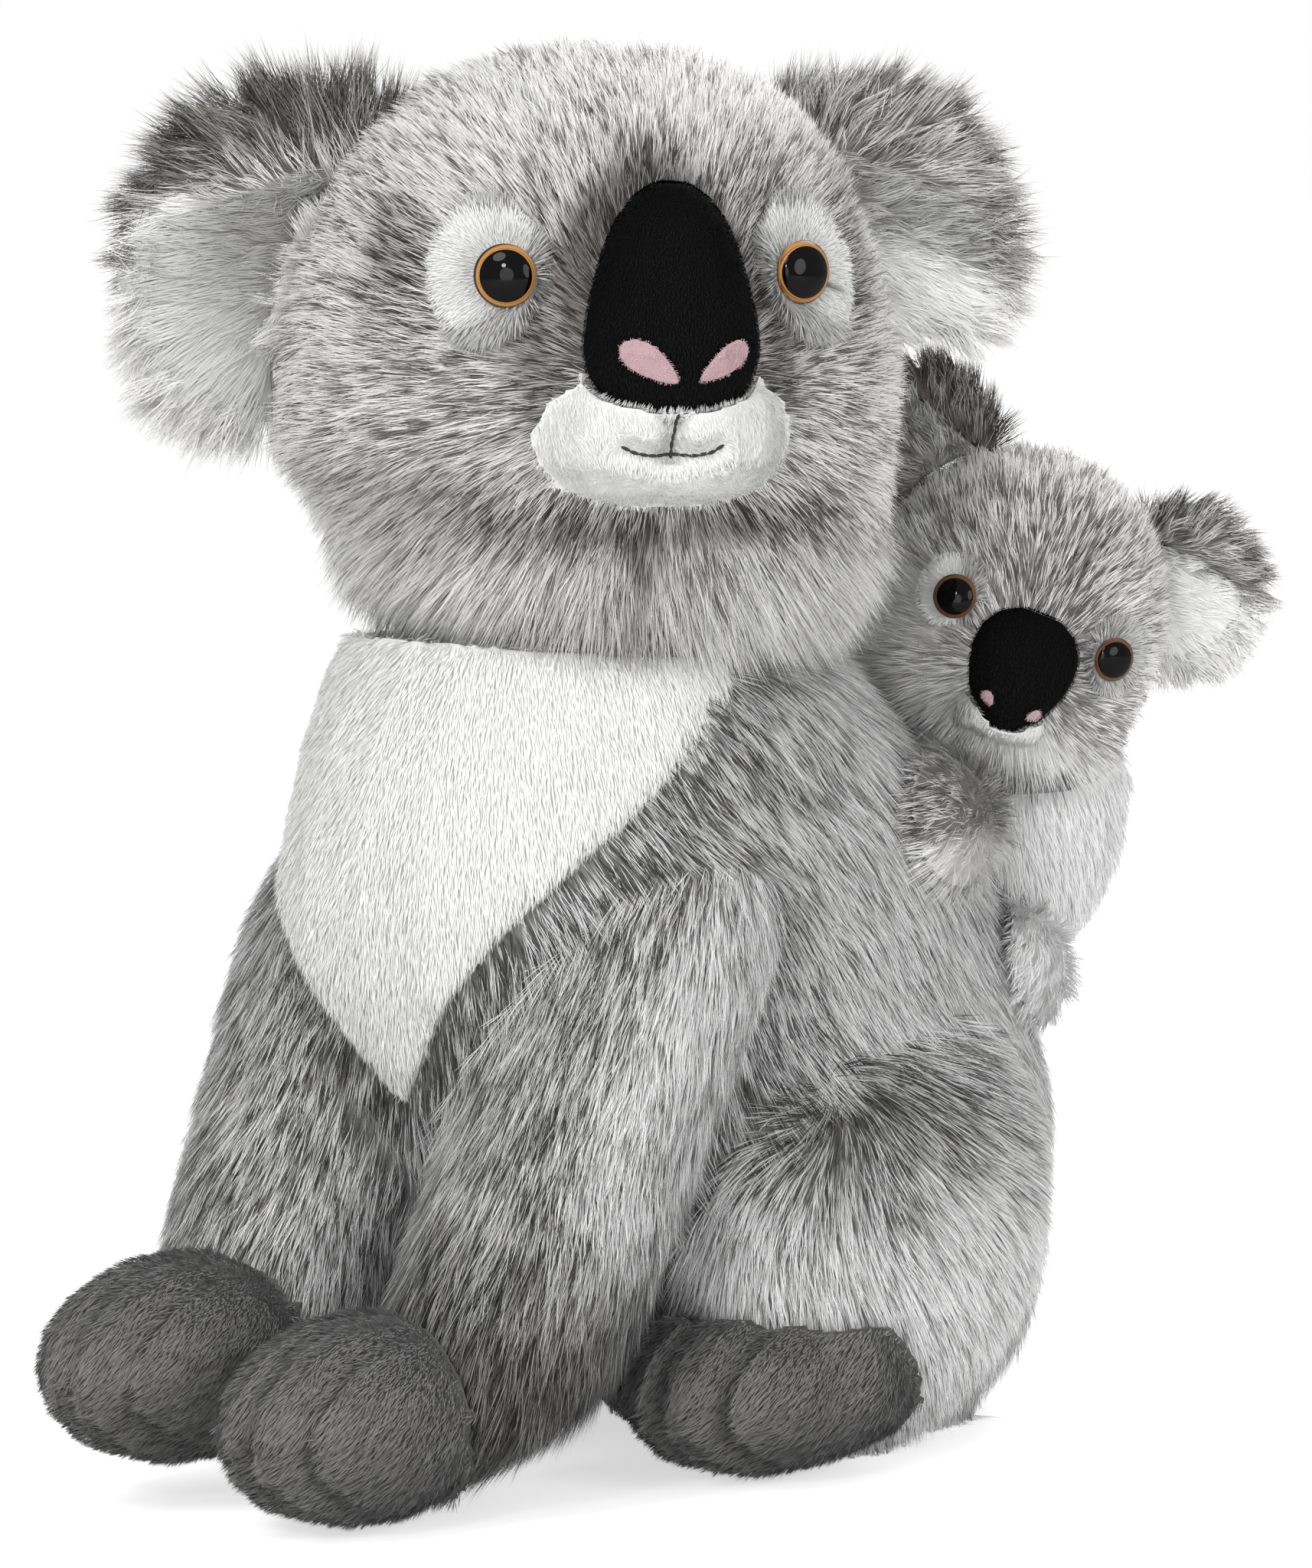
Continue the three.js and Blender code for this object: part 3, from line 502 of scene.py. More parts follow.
def plush(name, tips, middles, roots, roughness=0.62, sheen=0.35):
    """Fur whose colour follows its tone across the map and its height up the map."""
    material, tree, shader = new_material(
        name, Roughness=roughness, Sheen_Weight=sheen, Sheen_Roughness=0.4,
        Specular_IOR_Level=0.25 if sheen else 0.05)
    split = tree.nodes.new("ShaderNodeSeparateXYZ")
    tree.links.new(map_of(tree), split.inputs[0])
    colour = colour_ramp(tree, split.outputs[0], roots)
    for stops, low, high in ((middles, 0.02, 0.5), (tips, 0.5, 0.92)):
        over = colour_ramp(tree, split.outputs[0], stops)
        height = tree.nodes.new("ShaderNodeMapRange")
        height.interpolation_type = "SMOOTHSTEP"
        height.inputs["From Min"].default_value, height.inputs["From Max"].default_value = low, high
        tree.links.new(split.outputs[1], height.inputs["Value"])
        blend = tree.nodes.new("ShaderNodeMix")
        blend.data_type = "RGBA"
        tree.links.new(height.outputs["Result"], blend.inputs[0])
        tree.links.new(colour, blend.inputs[6])
        tree.links.new(over, blend.inputs[7])
        colour = blend.outputs[2]
    tree.links.new(colour, shader.inputs["Base Color"])
    return material


def grey(value, warm=0.0):
    """A grey, a little browner the warmer it is."""
    return (value * (1 + warm), value, value * (1 - warm))


def long_plush(name, warm):
    """Dark tufts among pale ones: neutral, or with brown in the dark ones."""
    def stops(*values):
        places, shares = (0, 1, 0.2, 0.45, 0.7), (1, 0.04, 1, 0.4, 0.08)
        return [(place, grey(value, warm * share)) for place, value, share in zip(places, values, shares)]
    return plush(name, stops(0.035, 0.97, 0.08, 0.36, 0.84), stops(0.015, 0.94, 0.04, 0.24, 0.6),
                 stops(0.03, 0.88, 0.06, 0.15, 0.3))


GREY_PLUSH = long_plush("grey_plush_pile", 0.04)
BRINDLED_PLUSH = long_plush("brindled_plush_pile", 0.14)
WHITE_PLUSH = plush("white_plush_pile",
                    [(0, (0.12, 0.116, 0.11)), (1, (0.965, 0.968, 0.95)), (0.5, (0.60, 0.60, 0.585))],
                    [(0, (0.09, 0.087, 0.08)), (1, (0.95, 0.953, 0.935)), (0.5, (0.52, 0.52, 0.505))],
                    [(0, (0.07, 0.065, 0.06)), (1, (0.88, 0.885, 0.865)), (0.5, (0.4, 0.4, 0.39))])
PAW_PLUSH = plush("paw_plush_pile",
                  [(0, grey(0.04, 0.03)), (1, grey(0.55, 0.01)), (0.5, grey(0.26, 0.015))],
                  [(0, grey(0.03, 0.03)), (1, grey(0.4, 0.02)), (0.5, grey(0.17, 0.02))],
                  [(0, grey(0.02, 0.03)), (1, grey(0.25, 0.02)), (0.5, grey(0.09, 0.02))])
NOSE_VELOUR = plush("nose_velour_pile",
                    [(0, grey(0.002)), (1, grey(0.03)), (0.5, grey(0.006))],
                    [(0, grey(0.001)), (1, grey(0.02)), (0.5, grey(0.004))],
                    [(0, grey(0.001)), (1, grey(0.01)), (0.5, grey(0.003))], 0.9, 0)
NOSTRIL_FELT = plush("nostril_felt_pile",
                     [(0, (0.5, 0.36, 0.38)), (1, (0.9, 0.76, 0.77)), (0.5, (0.74, 0.57, 0.59))],
                     [(0, (0.35, 0.22, 0.24)), (1, (0.7, 0.52, 0.54)), (0.5, (0.55, 0.38, 0.4))],
                     [(0, (0.25, 0.15, 0.16)), (1, (0.6, 0.42, 0.44)), (0.5, (0.45, 0.3, 0.32))], 0.8)
# Each finish of a pile with the record's slot that it belongs to
GREY, BRINDLED = (GREY_PLUSH, "grey_plush"), (BRINDLED_PLUSH, "grey_plush")
WHITE, PAW = (WHITE_PLUSH, "white_plush"), (PAW_PLUSH, "paw_plush")


# Places in the heads' and ears' own frames, in millimetres

class Face:
    """Where the parts of one head are, in that head's own frame. It faces -Y, and +X is its left."""

    def __init__(self, prefix, matrix, size, eye_turn, eye_place, ears, ear_size, white_lines):
        self.prefix, self.matrix, self.size = prefix, matrix, size
        self.eye_turn, self.eye_place = eye_turn, eye_place
        self.ears, self.ear_size, self.white_lines = ears, ear_size, white_lines

    def ear(self, side):
        """The ear's frame: +X outward, +Y backward, +Z along its root."""
        out, back, rise, lean = self.ears[side]
        return (self.matrix @ Matrix.Translation((side * out, back, rise))
                @ Matrix.Rotation(math.radians(-side * lean), 4, "Y") @ Matrix.Diagonal((side, 1, 1, 1)))

    def below_line(self, p, side):
        """How far a place on an ear is below the slanting line where its white starts."""
        share, slant = self.white_lines[side]
        a = math.radians(slant)
        return self.ear_size[1] * (share - 0.5) - (p[:, 2] * math.cos(a) + p[:, 0] * math.sin(a))

    def eye(self, side):
        return self.matrix @ Matrix.Rotation(math.radians(180 + side * self.eye_turn), 4, "Z")


mother = Face("", MOTHER, 1.0, 26, (34.5, 21.5), {1: (70, 15, 22, 18), -1: (70, 15, 19, 18)}, (46, 90),
              {1: (0.57, 38), -1: (0.76, 27)})
joey = Face("joey_", JOEY, 0.53, 26, (20, -1), {1: (34.5, 6, 17.5, 34), -1: (30.5, 6, 26.5, 54)}, (31, 48),
            {1: (0.7, 40), -1: (0.1, 40)})


# Skins of every stuffed piece, all made before any pile grows on them. The pile stands proud of a skin,
# so a skin sinks a little below the surface of its CAD solid.

SKINS = {}
FLOOR_GAP = 0.0004  # metres between the lowest skin and the table


def stuff(node, body, cell, smoothing, matrix=None, sink=0.0, scale=None):
    """Makes the skin of one node, sunk into it by a depth or drawn in to a share of its size."""
    skin = even_skin(node + "_skin", node, cell, smoothing)
    matrix = matrix or Matrix()
    points, normals = coordinates(skin.data), directions(skin.data)
    if scale:
        points = placed(local(points, matrix) * np.array(scale), matrix)
    else:
        depth = sink(local(points, matrix)) if callable(sink) else np.full(len(points), sink)
        points = points - normals * depth[:, None] * MM
    set_points(skin.data, points)
    SKINS[node] = (skin, body, matrix)
    return skin


def set_points(mesh, points):
    """Moves the vertices of a mesh, none of them below the table."""
    points[:, 2] = np.maximum(points[:, 2], FLOOR_GAP)
    mesh.vertices.foreach_set("co", points.ravel())
    mesh.update()


def soften_joins(nodes, swell, cell, smoothing, reach):
    """Where one stuffed piece of the body runs into another, both skins follow one smooth common form."""
    form = merged_copy("common_form", nodes)
    grow = form.modifiers.new("swell", "DISPLACE")
    grow.strength, grow.mid_level = swell * MM, 0
    tree = BVHTree.FromPolygons(*shape_of(soft_mesh(form, cell, smoothing)))
    bpy.data.objects.remove(form)
    for node in nodes:
        skin = SKINS[node][0]
        points = coordinates(skin.data)
        for i, point in enumerate(points):
            place, normal, _, distance = tree.find_nearest(Vector(point))
            share = 1 - smooth_step(distance / MM, reach * 0.4, reach)
            if share > 0 and place.z > 4 * MM:
                points[i] += share * (np.array(place - normal * BODY_SINK * MM) - point)
        set_points(skin.data, points)


def from_path(flat, path):
    """The distance of flat points to a path of straight runs."""
    distance = np.full(len(flat), 1e9)
    for a, b in zip(path[:-1], path[1:]):
        a, b = np.array(a, float), np.array(b, float)
        t = np.clip(((flat - a) @ (b - a)) / ((b - a) @ (b - a)), 0, 1)
        distance = np.minimum(distance, np.linalg.norm(flat - a - t[:, None] * (b - a), axis=1))
    return distance


def press(skin, matrix, path, depth, width):
    """Draws a line of the skin in, as a thread through the stuffing does. The path is a front view."""
    points, normals = coordinates(skin.data), directions(skin.data)
    p, n = local(points, matrix), normals @ np.array(matrix)[:3, :3]
    drop = depth * np.exp(-(from_path(p[:, (0, 2)], path) / width) ** 2) * (n[:, 1] < 0.2)
    set_points(skin.data, points - normals * drop[:, None] * MM)


def draw_in_toes(skin, lines, front, depth, width):
    """Draws a paw in along upright lines on its front part, as the seams between its toes do."""
    points, normals = coordinates(skin.data), directions(skin.data)
    p = points / MM
    across = np.abs(p[:, :1] - np.array(lines)).min(1)
    drop = (depth * np.exp(-(across / width) ** 2) * smooth_step(front - p[:, 1], -8, 8)
            * smooth_step(TOE_TOP - p[:, 2], -8, 8))
    set_points(skin.data, points - normals * drop[:, None] * MM)


def square_heel(skin, side):
    """The heel of a foot is blunt: its back corners and its sole stand out from the oval."""
    middle, half_width = TOES["foot"][0], TOES["foot"][1] / 2
    half_way, half_length = FOOT_LENGTHWAYS
    p = coordinates(skin.data) / MM
    out, back = p[:, 0] * side - middle, p[:, 1] - half_way
    u, v = out / half_width, back / half_length
    stretch = 1 + 0.16 * smooth_step(v, 0, 0.5) * 2 * np.abs(u * v) / np.maximum(u ** 2 + v ** 2, 0.1)
    sole = (1 - smooth_step(p[:, 2], 6, 26)) * smooth_step(v, 0.1, 0.8)
    p = np.stack([side * (middle + out * stretch * (1 + 0.12 * sole)),
                  half_way + back * stretch * (1 + 0.2 * sole), p[:, 2] * (1.3 * stretch - 0.3)], axis=1)
    set_points(skin.data, p * MM)


def shrink(skin, share):
    """Draws a skin in to a share of its size, about its own middle."""
    points = coordinates(skin.data)
    centre = points.mean(0)
    set_points(skin.data, centre + (points - centre) * share)


def lean_to_head(skin, matrix):
    """Fills the corner between the top of an ear and the head."""
    points = coordinates(skin.data)
    p = local(points, matrix)
    p[:, 0] -= 12 * smooth_step(p[:, 2], 8, 28) * (1 - smooth_step(p[:, 0], 2, 30))
    set_points(skin.data, placed(p, matrix))


def draw_up(skin, matrix):
    """Draws the lower inner corner of an ear up, where the small one's ear stands beside it."""
    points = coordinates(skin.data)
    p = local(points, matrix)
    p[:, 2] *= 1 - 0.4 * smooth_step(-p[:, 2], 0, 10) * (1 - smooth_step(p[:, 0], 8, 34))
    set_points(skin.data, placed(p, matrix))


def lay_in_panel():
    """The chest panel and its seat sink as deep as the torso's skin, so that the piles meet level."""
    panel, torso = SKINS["chest_panel"][0], SKINS["torso"][0]
    tree = BVHTree.FromPolygons(*shape_of(cad["chest_panel"].data))
    everywhere, at_panel = 9, 0.0009  # metres from the panel
    for skin, depth, within in ((panel, 0.4, everywhere), (torso, BODY_SINK + 0.5, at_panel)):
        points = coordinates(skin.data)
        outward = unit((points - np.array(CHEST_MIDDLE)) * np.array((1, 1, 0)))
        near = np.array([tree.find_nearest(Vector(point))[3] < within for point in points])
        crown = (4.5 * np.exp(-((points[:, 2] / MM - 130) / 24) ** 2)
                 * smooth_step(-points[:, 0] / MM, -5, 35))
        set_points(skin.data, points - outward * (near * depth - crown * (skin is panel))[:, None] * MM)


def slim_back(skin):
    """The seat draws in a little towards the floor at the back."""
    points, normals = coordinates(skin.data), directions(skin.data)
    p = points / MM
    drop = 3.2 * smooth_step(p[:, 1], -10, 50) * smooth_step(80 - p[:, 2], 0, 30)
    set_points(skin.data, points - normals * drop[:, None] * MM)


def mother_head_sink(p):
    """The head's skin stands fuller at the top and sinks deeper at the right jaw."""
    x, _, z = p.T
    jaw = smooth_step(-x, 10, 52) * smooth_step(-z, 12, 42)
    top = smooth_step(z, 25, 62)
    return 3.0 - 4.8 * top - 2.4 * top * smooth_step(x, 5, 45) - 1.2 * smooth_step(-z, 50, 66) + 9.0 * jaw


def joey_head_sink(p):
    """The joey's skin stands fuller at the top."""
    return 2.0 - 0.8 * smooth_step(p[:, 2], 15, 36)


# Millimetres: where the toe grooves are, and how the feet and the chest lie
TOE_SHARE = 0.48 / 2
TOES = {"paw": (29.5, 58, -212), "foot": (53, 62, -98)}  # middle out, width, and where the grooves start
TOE_TOP = 29
FOOT_LENGTHWAYS = (-88, 33.5)  # its middle and half its length
BODY_SINK = 3.5
CHEST_MIDDLE = (0, -0.075, 0)  # metres


def toe_lines(part, side):
    """Where the grooves of a paw or foot are, from side to side."""
    out, width, _ = TOES[part]
    return [side * out + share * width for share in (-TOE_SHARE, 0, TOE_SHARE)]


stuff("torso", "body", 3, 6)
stuff("chest_panel", "body", 1.6, 4)
lay_in_panel()
for side, side_name in SIDES:
    stuff("arm_" + side_name, "body", 2.5, 6)
    stuff("haunch_" + side_name, "body", 2.5, 6)
    stuff("paw_" + side_name, "body", 1.6, 5, sink=2.8)
    stuff("foot_" + side_name, "body", 1.6, 5, sink=2.2)
    for part in ("paw", "foot"):
        draw_in_toes(SKINS["%s_%s" % (part, side_name)][0], toe_lines(part, side), TOES[part][2], 1.7, 2.2)
    square_heel(SKINS["foot_" + side_name][0], side)
    stuff("joey_arm_" + side_name, "body", 2, 5, sink=2.2)
    stuff("joey_leg_" + side_name, "body", 2, 5, sink=2.2)
stuff("joey_body", "body", 2, 6, sink=2.0)
stuff("neck_fill", "neck", 2.5, 4, sink=1.5)
soften_joins(["torso"] + [part + side_name for part in ("arm_", "haunch_") for _, side_name in SIDES],
             swell=1.2, cell=4, smoothing=22, reach=11)
for name in ("torso", "haunch_left", "haunch_right"):
    slim_back(SKINS[name][0])
for face, head_sink in ((mother, mother_head_sink), (joey, joey_head_sink)):
    pre, body, k = face.prefix, face.prefix + "head", 1 if face is mother else 0.7
    stuff(pre + "head", body, 2.5 * (k + 0.1), 6, face.matrix, sink=head_sink)
    stuff(pre + "muzzle", body, 1.2 * k, 16, face.matrix, sink=1.2 * k)
    stuff(pre + "nose", body, 1.1 * k, 8, face.matrix, sink=0.3)
    for side, side_name in SIDES:
        ear_body = "ear_" + side_name if face is mother else body
        spread = (0.87, 1, 0.88) if face is mother else (0.86, 1, 0.88 if side > 0 else 0.74)
        stuff(pre + "eye_patch_" + side_name, body, 0.8 * k, 3, face.matrix)
        nostril = stuff(pre + "nostril_" + side_name, body, 0.5 * k, 2, face.matrix)
        shrink(nostril, (0.88 if side > 0 else 0.97) if face is mother else 0.72)
        stuff(pre + "ear_%s_back" % side_name, ear_body, 1.6 * k, 4, face.ear(side), scale=spread)
        stuff(pre + "ear_%s_lining" % side_name, ear_body, 1.3 * k, 3, face.ear(side), scale=spread)
        if face is mother:
            lean_to_head(SKINS["ear_%s_back" % side_name][0], face.ear(side))
draw_up(SKINS["ear_left_back"][0], mother.ear(1))
draw_up(SKINS["ear_left_lining"][0], mother.ear(1))

MOUTH = [(-13, -17.9), (-10.5, -19.1), (-6, -19.7), (-2, -19.4), (3, -19.7), (7, -19.2), (9.3, -17.9)]
PHILTRUM = [(-1.6, -8), (-1.8, -13), (-2, -19.3)]
CHIN_NOTCH = [(-3.6, -29), (-4, -40)]
press(SKINS["muzzle"][0], MOTHER, MOUTH, 2.6, 2.8)
press(SKINS["muzzle"][0], MOTHER, PHILTRUM, 3.4, 3.2)
press(SKINS["muzzle"][0], MOTHER, CHIN_NOTCH, 0.8, 2.2)


# Room for the pile between neighbouring pieces

EYES = [face.prefix + "eye_" + side_name for face in (mother, joey) for _, side_name in SIDES]
SHAPES = {name: shape_of(SKINS[name][0].data if name in SKINS else cad[name].data)
          for name in [*SKINS, *EYES]}


def tree_of(names):
    """One search tree of several pieces."""
    points, faces = [], []
    for name in names:
        start = len(points)
        points.extend(SHAPES[name][0])
        faces.extend([start + i for i in f] for f in SHAPES[name][1])
    return BVHTree.FromPolygons(points, faces)


EVERYTHING = tree_of(SHAPES)


def room_over(points, normals, most=0.015, clear=1e-4):
    """How far each point sees along its normal before it meets another piece, in millimetres."""
    out = np.full(len(points), most)
    for i, (p, n) in enumerate(zip(points, normals)):
        hit = EVERYTHING.ray_cast(Vector(p + n * clear), Vector(n), most)
        if hit[3] is not None:
            out[i] = hit[3]
    return out / MM


def nearest_of(points, names):
    """The distance in millimetres and the unit direction to the nearest of some pieces."""
    tree = tree_of(names)
    away, toward = np.empty(len(points)), np.empty((len(points), 3))
    for i, p in enumerate(points):
        place, _, _, distance = tree.find_nearest(Vector(p))
        away[i], toward[i] = distance / MM, np.array(place) - p
    return away, unit(toward)


PLAIN_LOOK = {"rise": 0.4, "tick": 0.0, "depth": 0.5, "thick": 1.0, "over": 0.0}
NO_TICK = -2  # so low that not one strand is dark tipped


def cover(node, looks, material, slot, keep_off=(), fringe=0.0, **pile):
    """Grows the pile of one piece on its skin, joins both and lets them stand for the CAD node.

    The look of each point is comb: which way its strands lie, pile: their length in millimetres, rise: how
    steeply they stand, thick: how many there are, tone: their colour, tick and depth: how many have dark
    tips and how dark, and over: how much longer they are than the room over them. The pile is shorter
    where it runs into a piece that it has to keep off, and a fringe of dark tips lines that edge.
    """
    skin, body, matrix = SKINS[node]
    points, normals = coordinates(skin.data), directions(skin.data)
    turn = np.array(matrix)[:3, :3]
    p, n = local(points, matrix), normals @ turn
    look = dict(PLAIN_LOOK, **looks(p, n))
    comb = along_surface(look.pop("comb"), n) @ turn.T
    room = room_over(points, normals)
    free = (room * 1.1 + 1) / np.clip(look["rise"] * 1.5, 0.4, 1) + look.pop("over")
    length = np.minimum(look["pile"] + 0 * room, free)
    if keep_off:
        edge, toward = nearest_of(points, keep_off)
        crossing = smooth_step((comb * toward).sum(1), -0.3, 0.5) * (1 - smooth_step(edge, 0.5, length + 2))
        length = length * (1 - (0.25 if fringe else 0.72) * crossing)
        look["tick"] = look["tick"] + fringe * (1 - smooth_step(edge, 6, 15))
    look["tick"] = np.where(look["tick"] < 0.03, NO_TICK, look["tick"])
    look["pile"] = length * MM
    look["thick"] = look["thick"] * (0.3 + 0.7 * smooth_step(room, 0.8, 3.0)) * (
        1 - 0.6 * smooth_step(-normals[:, 2], 0.8, 0.98) * (points[:, 2] < 4 * MM))
    set_values(skin.data, "comb", comb)
    for name, values in look.items():
        set_values(skin.data, name, values + np.zeros(len(points)))
    strands = grow_pile(skin, material, **pile)
    paint_skin(skin.data, look["tone"] + np.zeros(len(points)))
    skin.data.materials.append(material)
    joined = join_meshes(node + "_plush", skin.data, strands)
    bpy.data.objects.remove(skin)
    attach(joined, body)
    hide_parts(node)


def paint_skin(mesh, tone):
    """The map of the bare skin: the tone across, the root colour up."""
    uv = mesh.uv_layers.new(name="UVMap")
    loops = np.empty(len(mesh.loops), dtype=np.int32)
    mesh.loops.foreach_get("vertex_index", loops)
    where = np.arange(len(loops))
    values = np.stack([np.clip(tone[loops] - 0.12 + 0.01 * (where % 4 // 2), 0.01, 0.99),
                       0.05 + 0.03 * ((where + 1) % 4 // 2)], axis=1)
    uv.data.foreach_set("uv", values.astype(np.float32).ravel())


def join_meshes(name, skin, strands):
    """One object of a skin and its strands, without the values that the pile was grown from."""
    a, b = add_object(name, skin), add_object(name + "_strands", strands)
    for kept in [attribute.name for attribute in skin.attributes]:
        if kept in PER_POINT:
            skin.attributes.remove(skin.attributes[kept])
    for polygon in (skin.polygons, strands.polygons):
        polygon.foreach_set("use_smooth", np.ones(len(polygon), dtype=bool))
    both = [a, b]
    with bpy.context.temp_override(active_object=a, selected_editable_objects=both, selected_objects=both):
        bpy.ops.object.join()
    return a


# How each piece's pile lies and is coloured: places in millimetres and normals, in the piece's own frame

def mother_head_looks(p, n):
    """The pile parts from beside the nose, with dark tufts there and on the brow, and dark tufts in a band of
    painted shade under the muzzle.
    """
    x, y, z = p.T
    back = smooth_step(y, -25, 50)
    low = smooth_step(-z, 25, 60)
    comb = unit(p - np.array((0, -62, -6))) + np.array((0, 0, -1)) * (0.9 * back + 0.9 * low)[:, None]
    side = np.stack([np.abs(x), y, z], axis=1)
    front = 1 - smooth_step(y, -30, 20)
    forehead = smooth_step(z, 40, 58) * front
    ring = np.hypot(x / 21.5, (z - 16.4) / 28.3)  # 1 at the rim of the nose
    edge = (1 - smooth_step(ring, 0.9, 1.08)) * front
    by_nose = np.maximum(blob(side, (25, -72, 4), (7, 22, 15)), edge)
    brow = np.maximum(blob(side, (0, -70, 47), (13, 26, 5)), 0.6 * blob(side, (24, -64, 36), (7, 20, 13)))
    chin = smooth_step(-z, 36, 50)
    # Painted shade: a dark band just under the muzzle, where its shadow falls on the chin; its few dark tips
    # are the fur's own.
    under = blob(side, (12, -70, -33.5), (26, 22, 4.6))
    cheek = np.maximum(blob(side, (44, -60, -8), (12, 22, 13)), blob(side, (41, -62, -28), (11, 22, 9)))
    by_patch = blob(side, (54, -48, 27), (6, 18, 17))
    hanging = smooth_step(-n[:, 2], 0.0, 0.6)
    part = np.exp(-((x + 4) / 3.5) ** 2) * smooth_step(-z, 31, 36) * front
    pile = 9.5 - 1.5 * forehead + 5 * chin + 5 * hanging * low + 1.5 * back - 3.0 * by_nose
    # The tone is darkened under the muzzle as painted shade.
    tone = (0.78 + 0.06 * forehead - 0.4 * by_nose - 0.2 * brow - 0.4 * under + 0.08 * chin
            - 0.38 * by_patch - 0.3 * part)
    tick = (0.26 - 0.12 * forehead + 0.3 * brow + 0.2 * by_nose + 0.26 * cheek + 0.35 * by_patch
            + 0.1 * under - 0.08 * chin)
    comb = comb + np.array((1, 0, 0)) * (chin * front * np.clip((x + 4) / 18, -1, 1) * 0.35)[:, None]
    return {"comb": comb, "pile": pile, "tone": tone, "tick": tick, "rise": 0.24 + 0.5 * hanging,
            "depth": 0.58, "thick": 1 - 0.45 * back,
            "over": 9 * hanging * front * (1 - smooth_step(-n[:, 2], 0.8, 0.98))}


def joey_head_looks(p, n):
    """Speckled round the eyes and the jaw, and pale at the chin and the right cheek."""
    x, y, z = p.T
    back = smooth_step(y, -12, 25)
    comb = unit(p - np.array((0, -33, -12))) + np.array((0, 0, -0.9)) * back[:, None]
    front = 1 - smooth_step(y, -15, 10)
    side = np.stack([np.abs(x), y, z], axis=1)
    chin = smooth_step(-z, 18, 30) * front
    cheek = blob(side, (27, -26, -10), (12, 20, 14))
    jaw = blob(side, (24, -32, -17), (9, 16, 7))
    brow = blob(side, (5, -34, 14), (9, 16, 16))
    hanging = smooth_step(-n[:, 2], 0.1, 0.7)
    eyes = blob(side, (19, -36, -9), (9, 14, 6))
    tone = 0.84 - 0.12 * brow + 0.3 * chin + 0.14 * cheek + 0.3 * cheek * (x < 0)
    tick = 0.34 + 0.2 * brow - 0.36 * chin - 0.12 * cheek * (x < 0) + 0.3 * eyes + 0.3 * jaw
    return {"comb": comb, "pile": 8.0 - 1.0 * front + 3.5 * chin, "tone": tone, "tick": tick,
            "rise": 0.28 + 0.6 * hanging, "depth": 0.6,
            "over": 12 * hanging * front + 4 * smooth_step(z, 12, 24)}


def torso_looks(p, n):
    """Smoothed down, with fewer dark tips on the flanks and the back."""
    x, y, z = p.T
    back = smooth_step(y, -60, 40)
    comb = np.stack([0.25 * np.sign(x) * (1 - back), 0.5 - 0.5 * back, -np.ones(len(p))], axis=1)
    under = smooth_step(-n[:, 2], 0.75, 0.95) * (z < 8)
    beside = smooth_step(y, -90, -40)
    return {"comb": comb, "pile": 11.5 - 2 * smooth_step(z, 150, 190), "tone": 0.66 + 0.08 * beside,
            "tick": 0.34 - 0.24 * beside, "rise": 0.22, "depth": 0.58 - 0.14 * beside,
            "thick": 1 - 0.45 * back - 0.3 * under}


def arm_looks(p, n):
    """Smooth grey down the arm, paler on its inner side, and paler on its outer side with painted rim light.
    """
    x, _, z = p.T
    side = np.sign(x)
    comb = np.stack([0.12 * side * (n[:, 0] * side), -0.42 + 0.15 * n[:, 1], -np.ones(len(p))], axis=1)
    inside = smooth_step(-n[:, 0] * side, 0.1, 0.7) * smooth_step(z, 20, 50) * (side > 0)
    # Painted rim light: the upper arm's outer side is paler, with fewer dark tips, as light rims its edge.
    painted_rim_light = smooth_step(n[:, 0] * side, 0.5, 0.9)
    low = 1 - smooth_step(z, 30, 90)
    base = np.where(side > 0, 0.65 - 0.38 * low, 0.7)
    return {"comb": comb, "pile": 12.5, "tone": base + 0.14 * inside + 0.13 * painted_rim_light * (1 - low),
            "tick": 0.42 - 0.18 * inside - 0.26 * painted_rim_light * (1 - low), "rise": 0.2, "depth": 0.58}


WHORL = (72, -76, 97)


def haunch_looks(p, n):
    """The pile swirls out of a dark whorl on the knee."""
    side = np.sign(p[:, :1])
    q = np.concatenate([p[:, :1] * side, p[:, 1:]], axis=1)
    away = q - np.array(WHORL)
    near = np.exp(-(np.linalg.norm(away, axis=1) / 24) ** 2)
    outward = np.concatenate([n[:, :1] * side, n[:, 1:]], axis=1)
    swirl = np.cross(unit(away), outward) * (1.1 * near)[:, None]
    comb = unit(away) * 0.9 + swirl + np.array((0, 0.35, -0.75)) * (1 - near)[:, None]
    comb[:, :1] *= side
    low = smooth_step(95 - q[:, 2], 5, 50)
    ridge = np.exp(-((q[:, 2] - WHORL[2]) / 16) ** 2) * smooth_step(-q[:, 1], 55, 80)
    dark = np.maximum(near, 0.7 * ridge)
    return {"comb": comb, "pile": 12 - 1.0 * near, "tone": 0.7 + 0.2 * low - 0.22 * dark,
            "tick": 0.36 + 0.3 * dark - 0.2 * low, "rise": 0.22 + 0.26 * near, "depth": 0.58}


def paw_looks(part, side):
    """Short and dark, and shorter and darker in the grooves between the toes."""
    lines, front = toe_lines(part, side), TOES[part][2]

    def looks(p, n):
        comb = np.stack([0.3 * n[:, 0], -np.ones(len(p)), -0.45 + 0 * p[:, 0]], axis=1)
        groove = (np.exp(-(np.abs(p[:, :1] - np.array(lines)).min(1) / 1.6) ** 2)
                  * smooth_step(front - p[:, 1], -4, 8) * smooth_step(TOE_TOP - p[:, 2], -6, 6))
        return {"comb": comb, "pile": 4.2 - 2.2 * groove, "tone": 0.54 - 0.36 * groove, "rise": 0.4,
                "tick": 0.2, "depth": 0.14}
    return looks


def bib_looks(p, n):
    """Short white pile, smoothed down."""
    comb = np.stack([0.1 * np.sign(p[:, 0]), 0 * p[:, 0], -np.ones(len(p))], axis=1)
    return {"comb": comb, "pile": 4.2, "tone": 0.92, "rise": 0.3, "thick": 0.7}


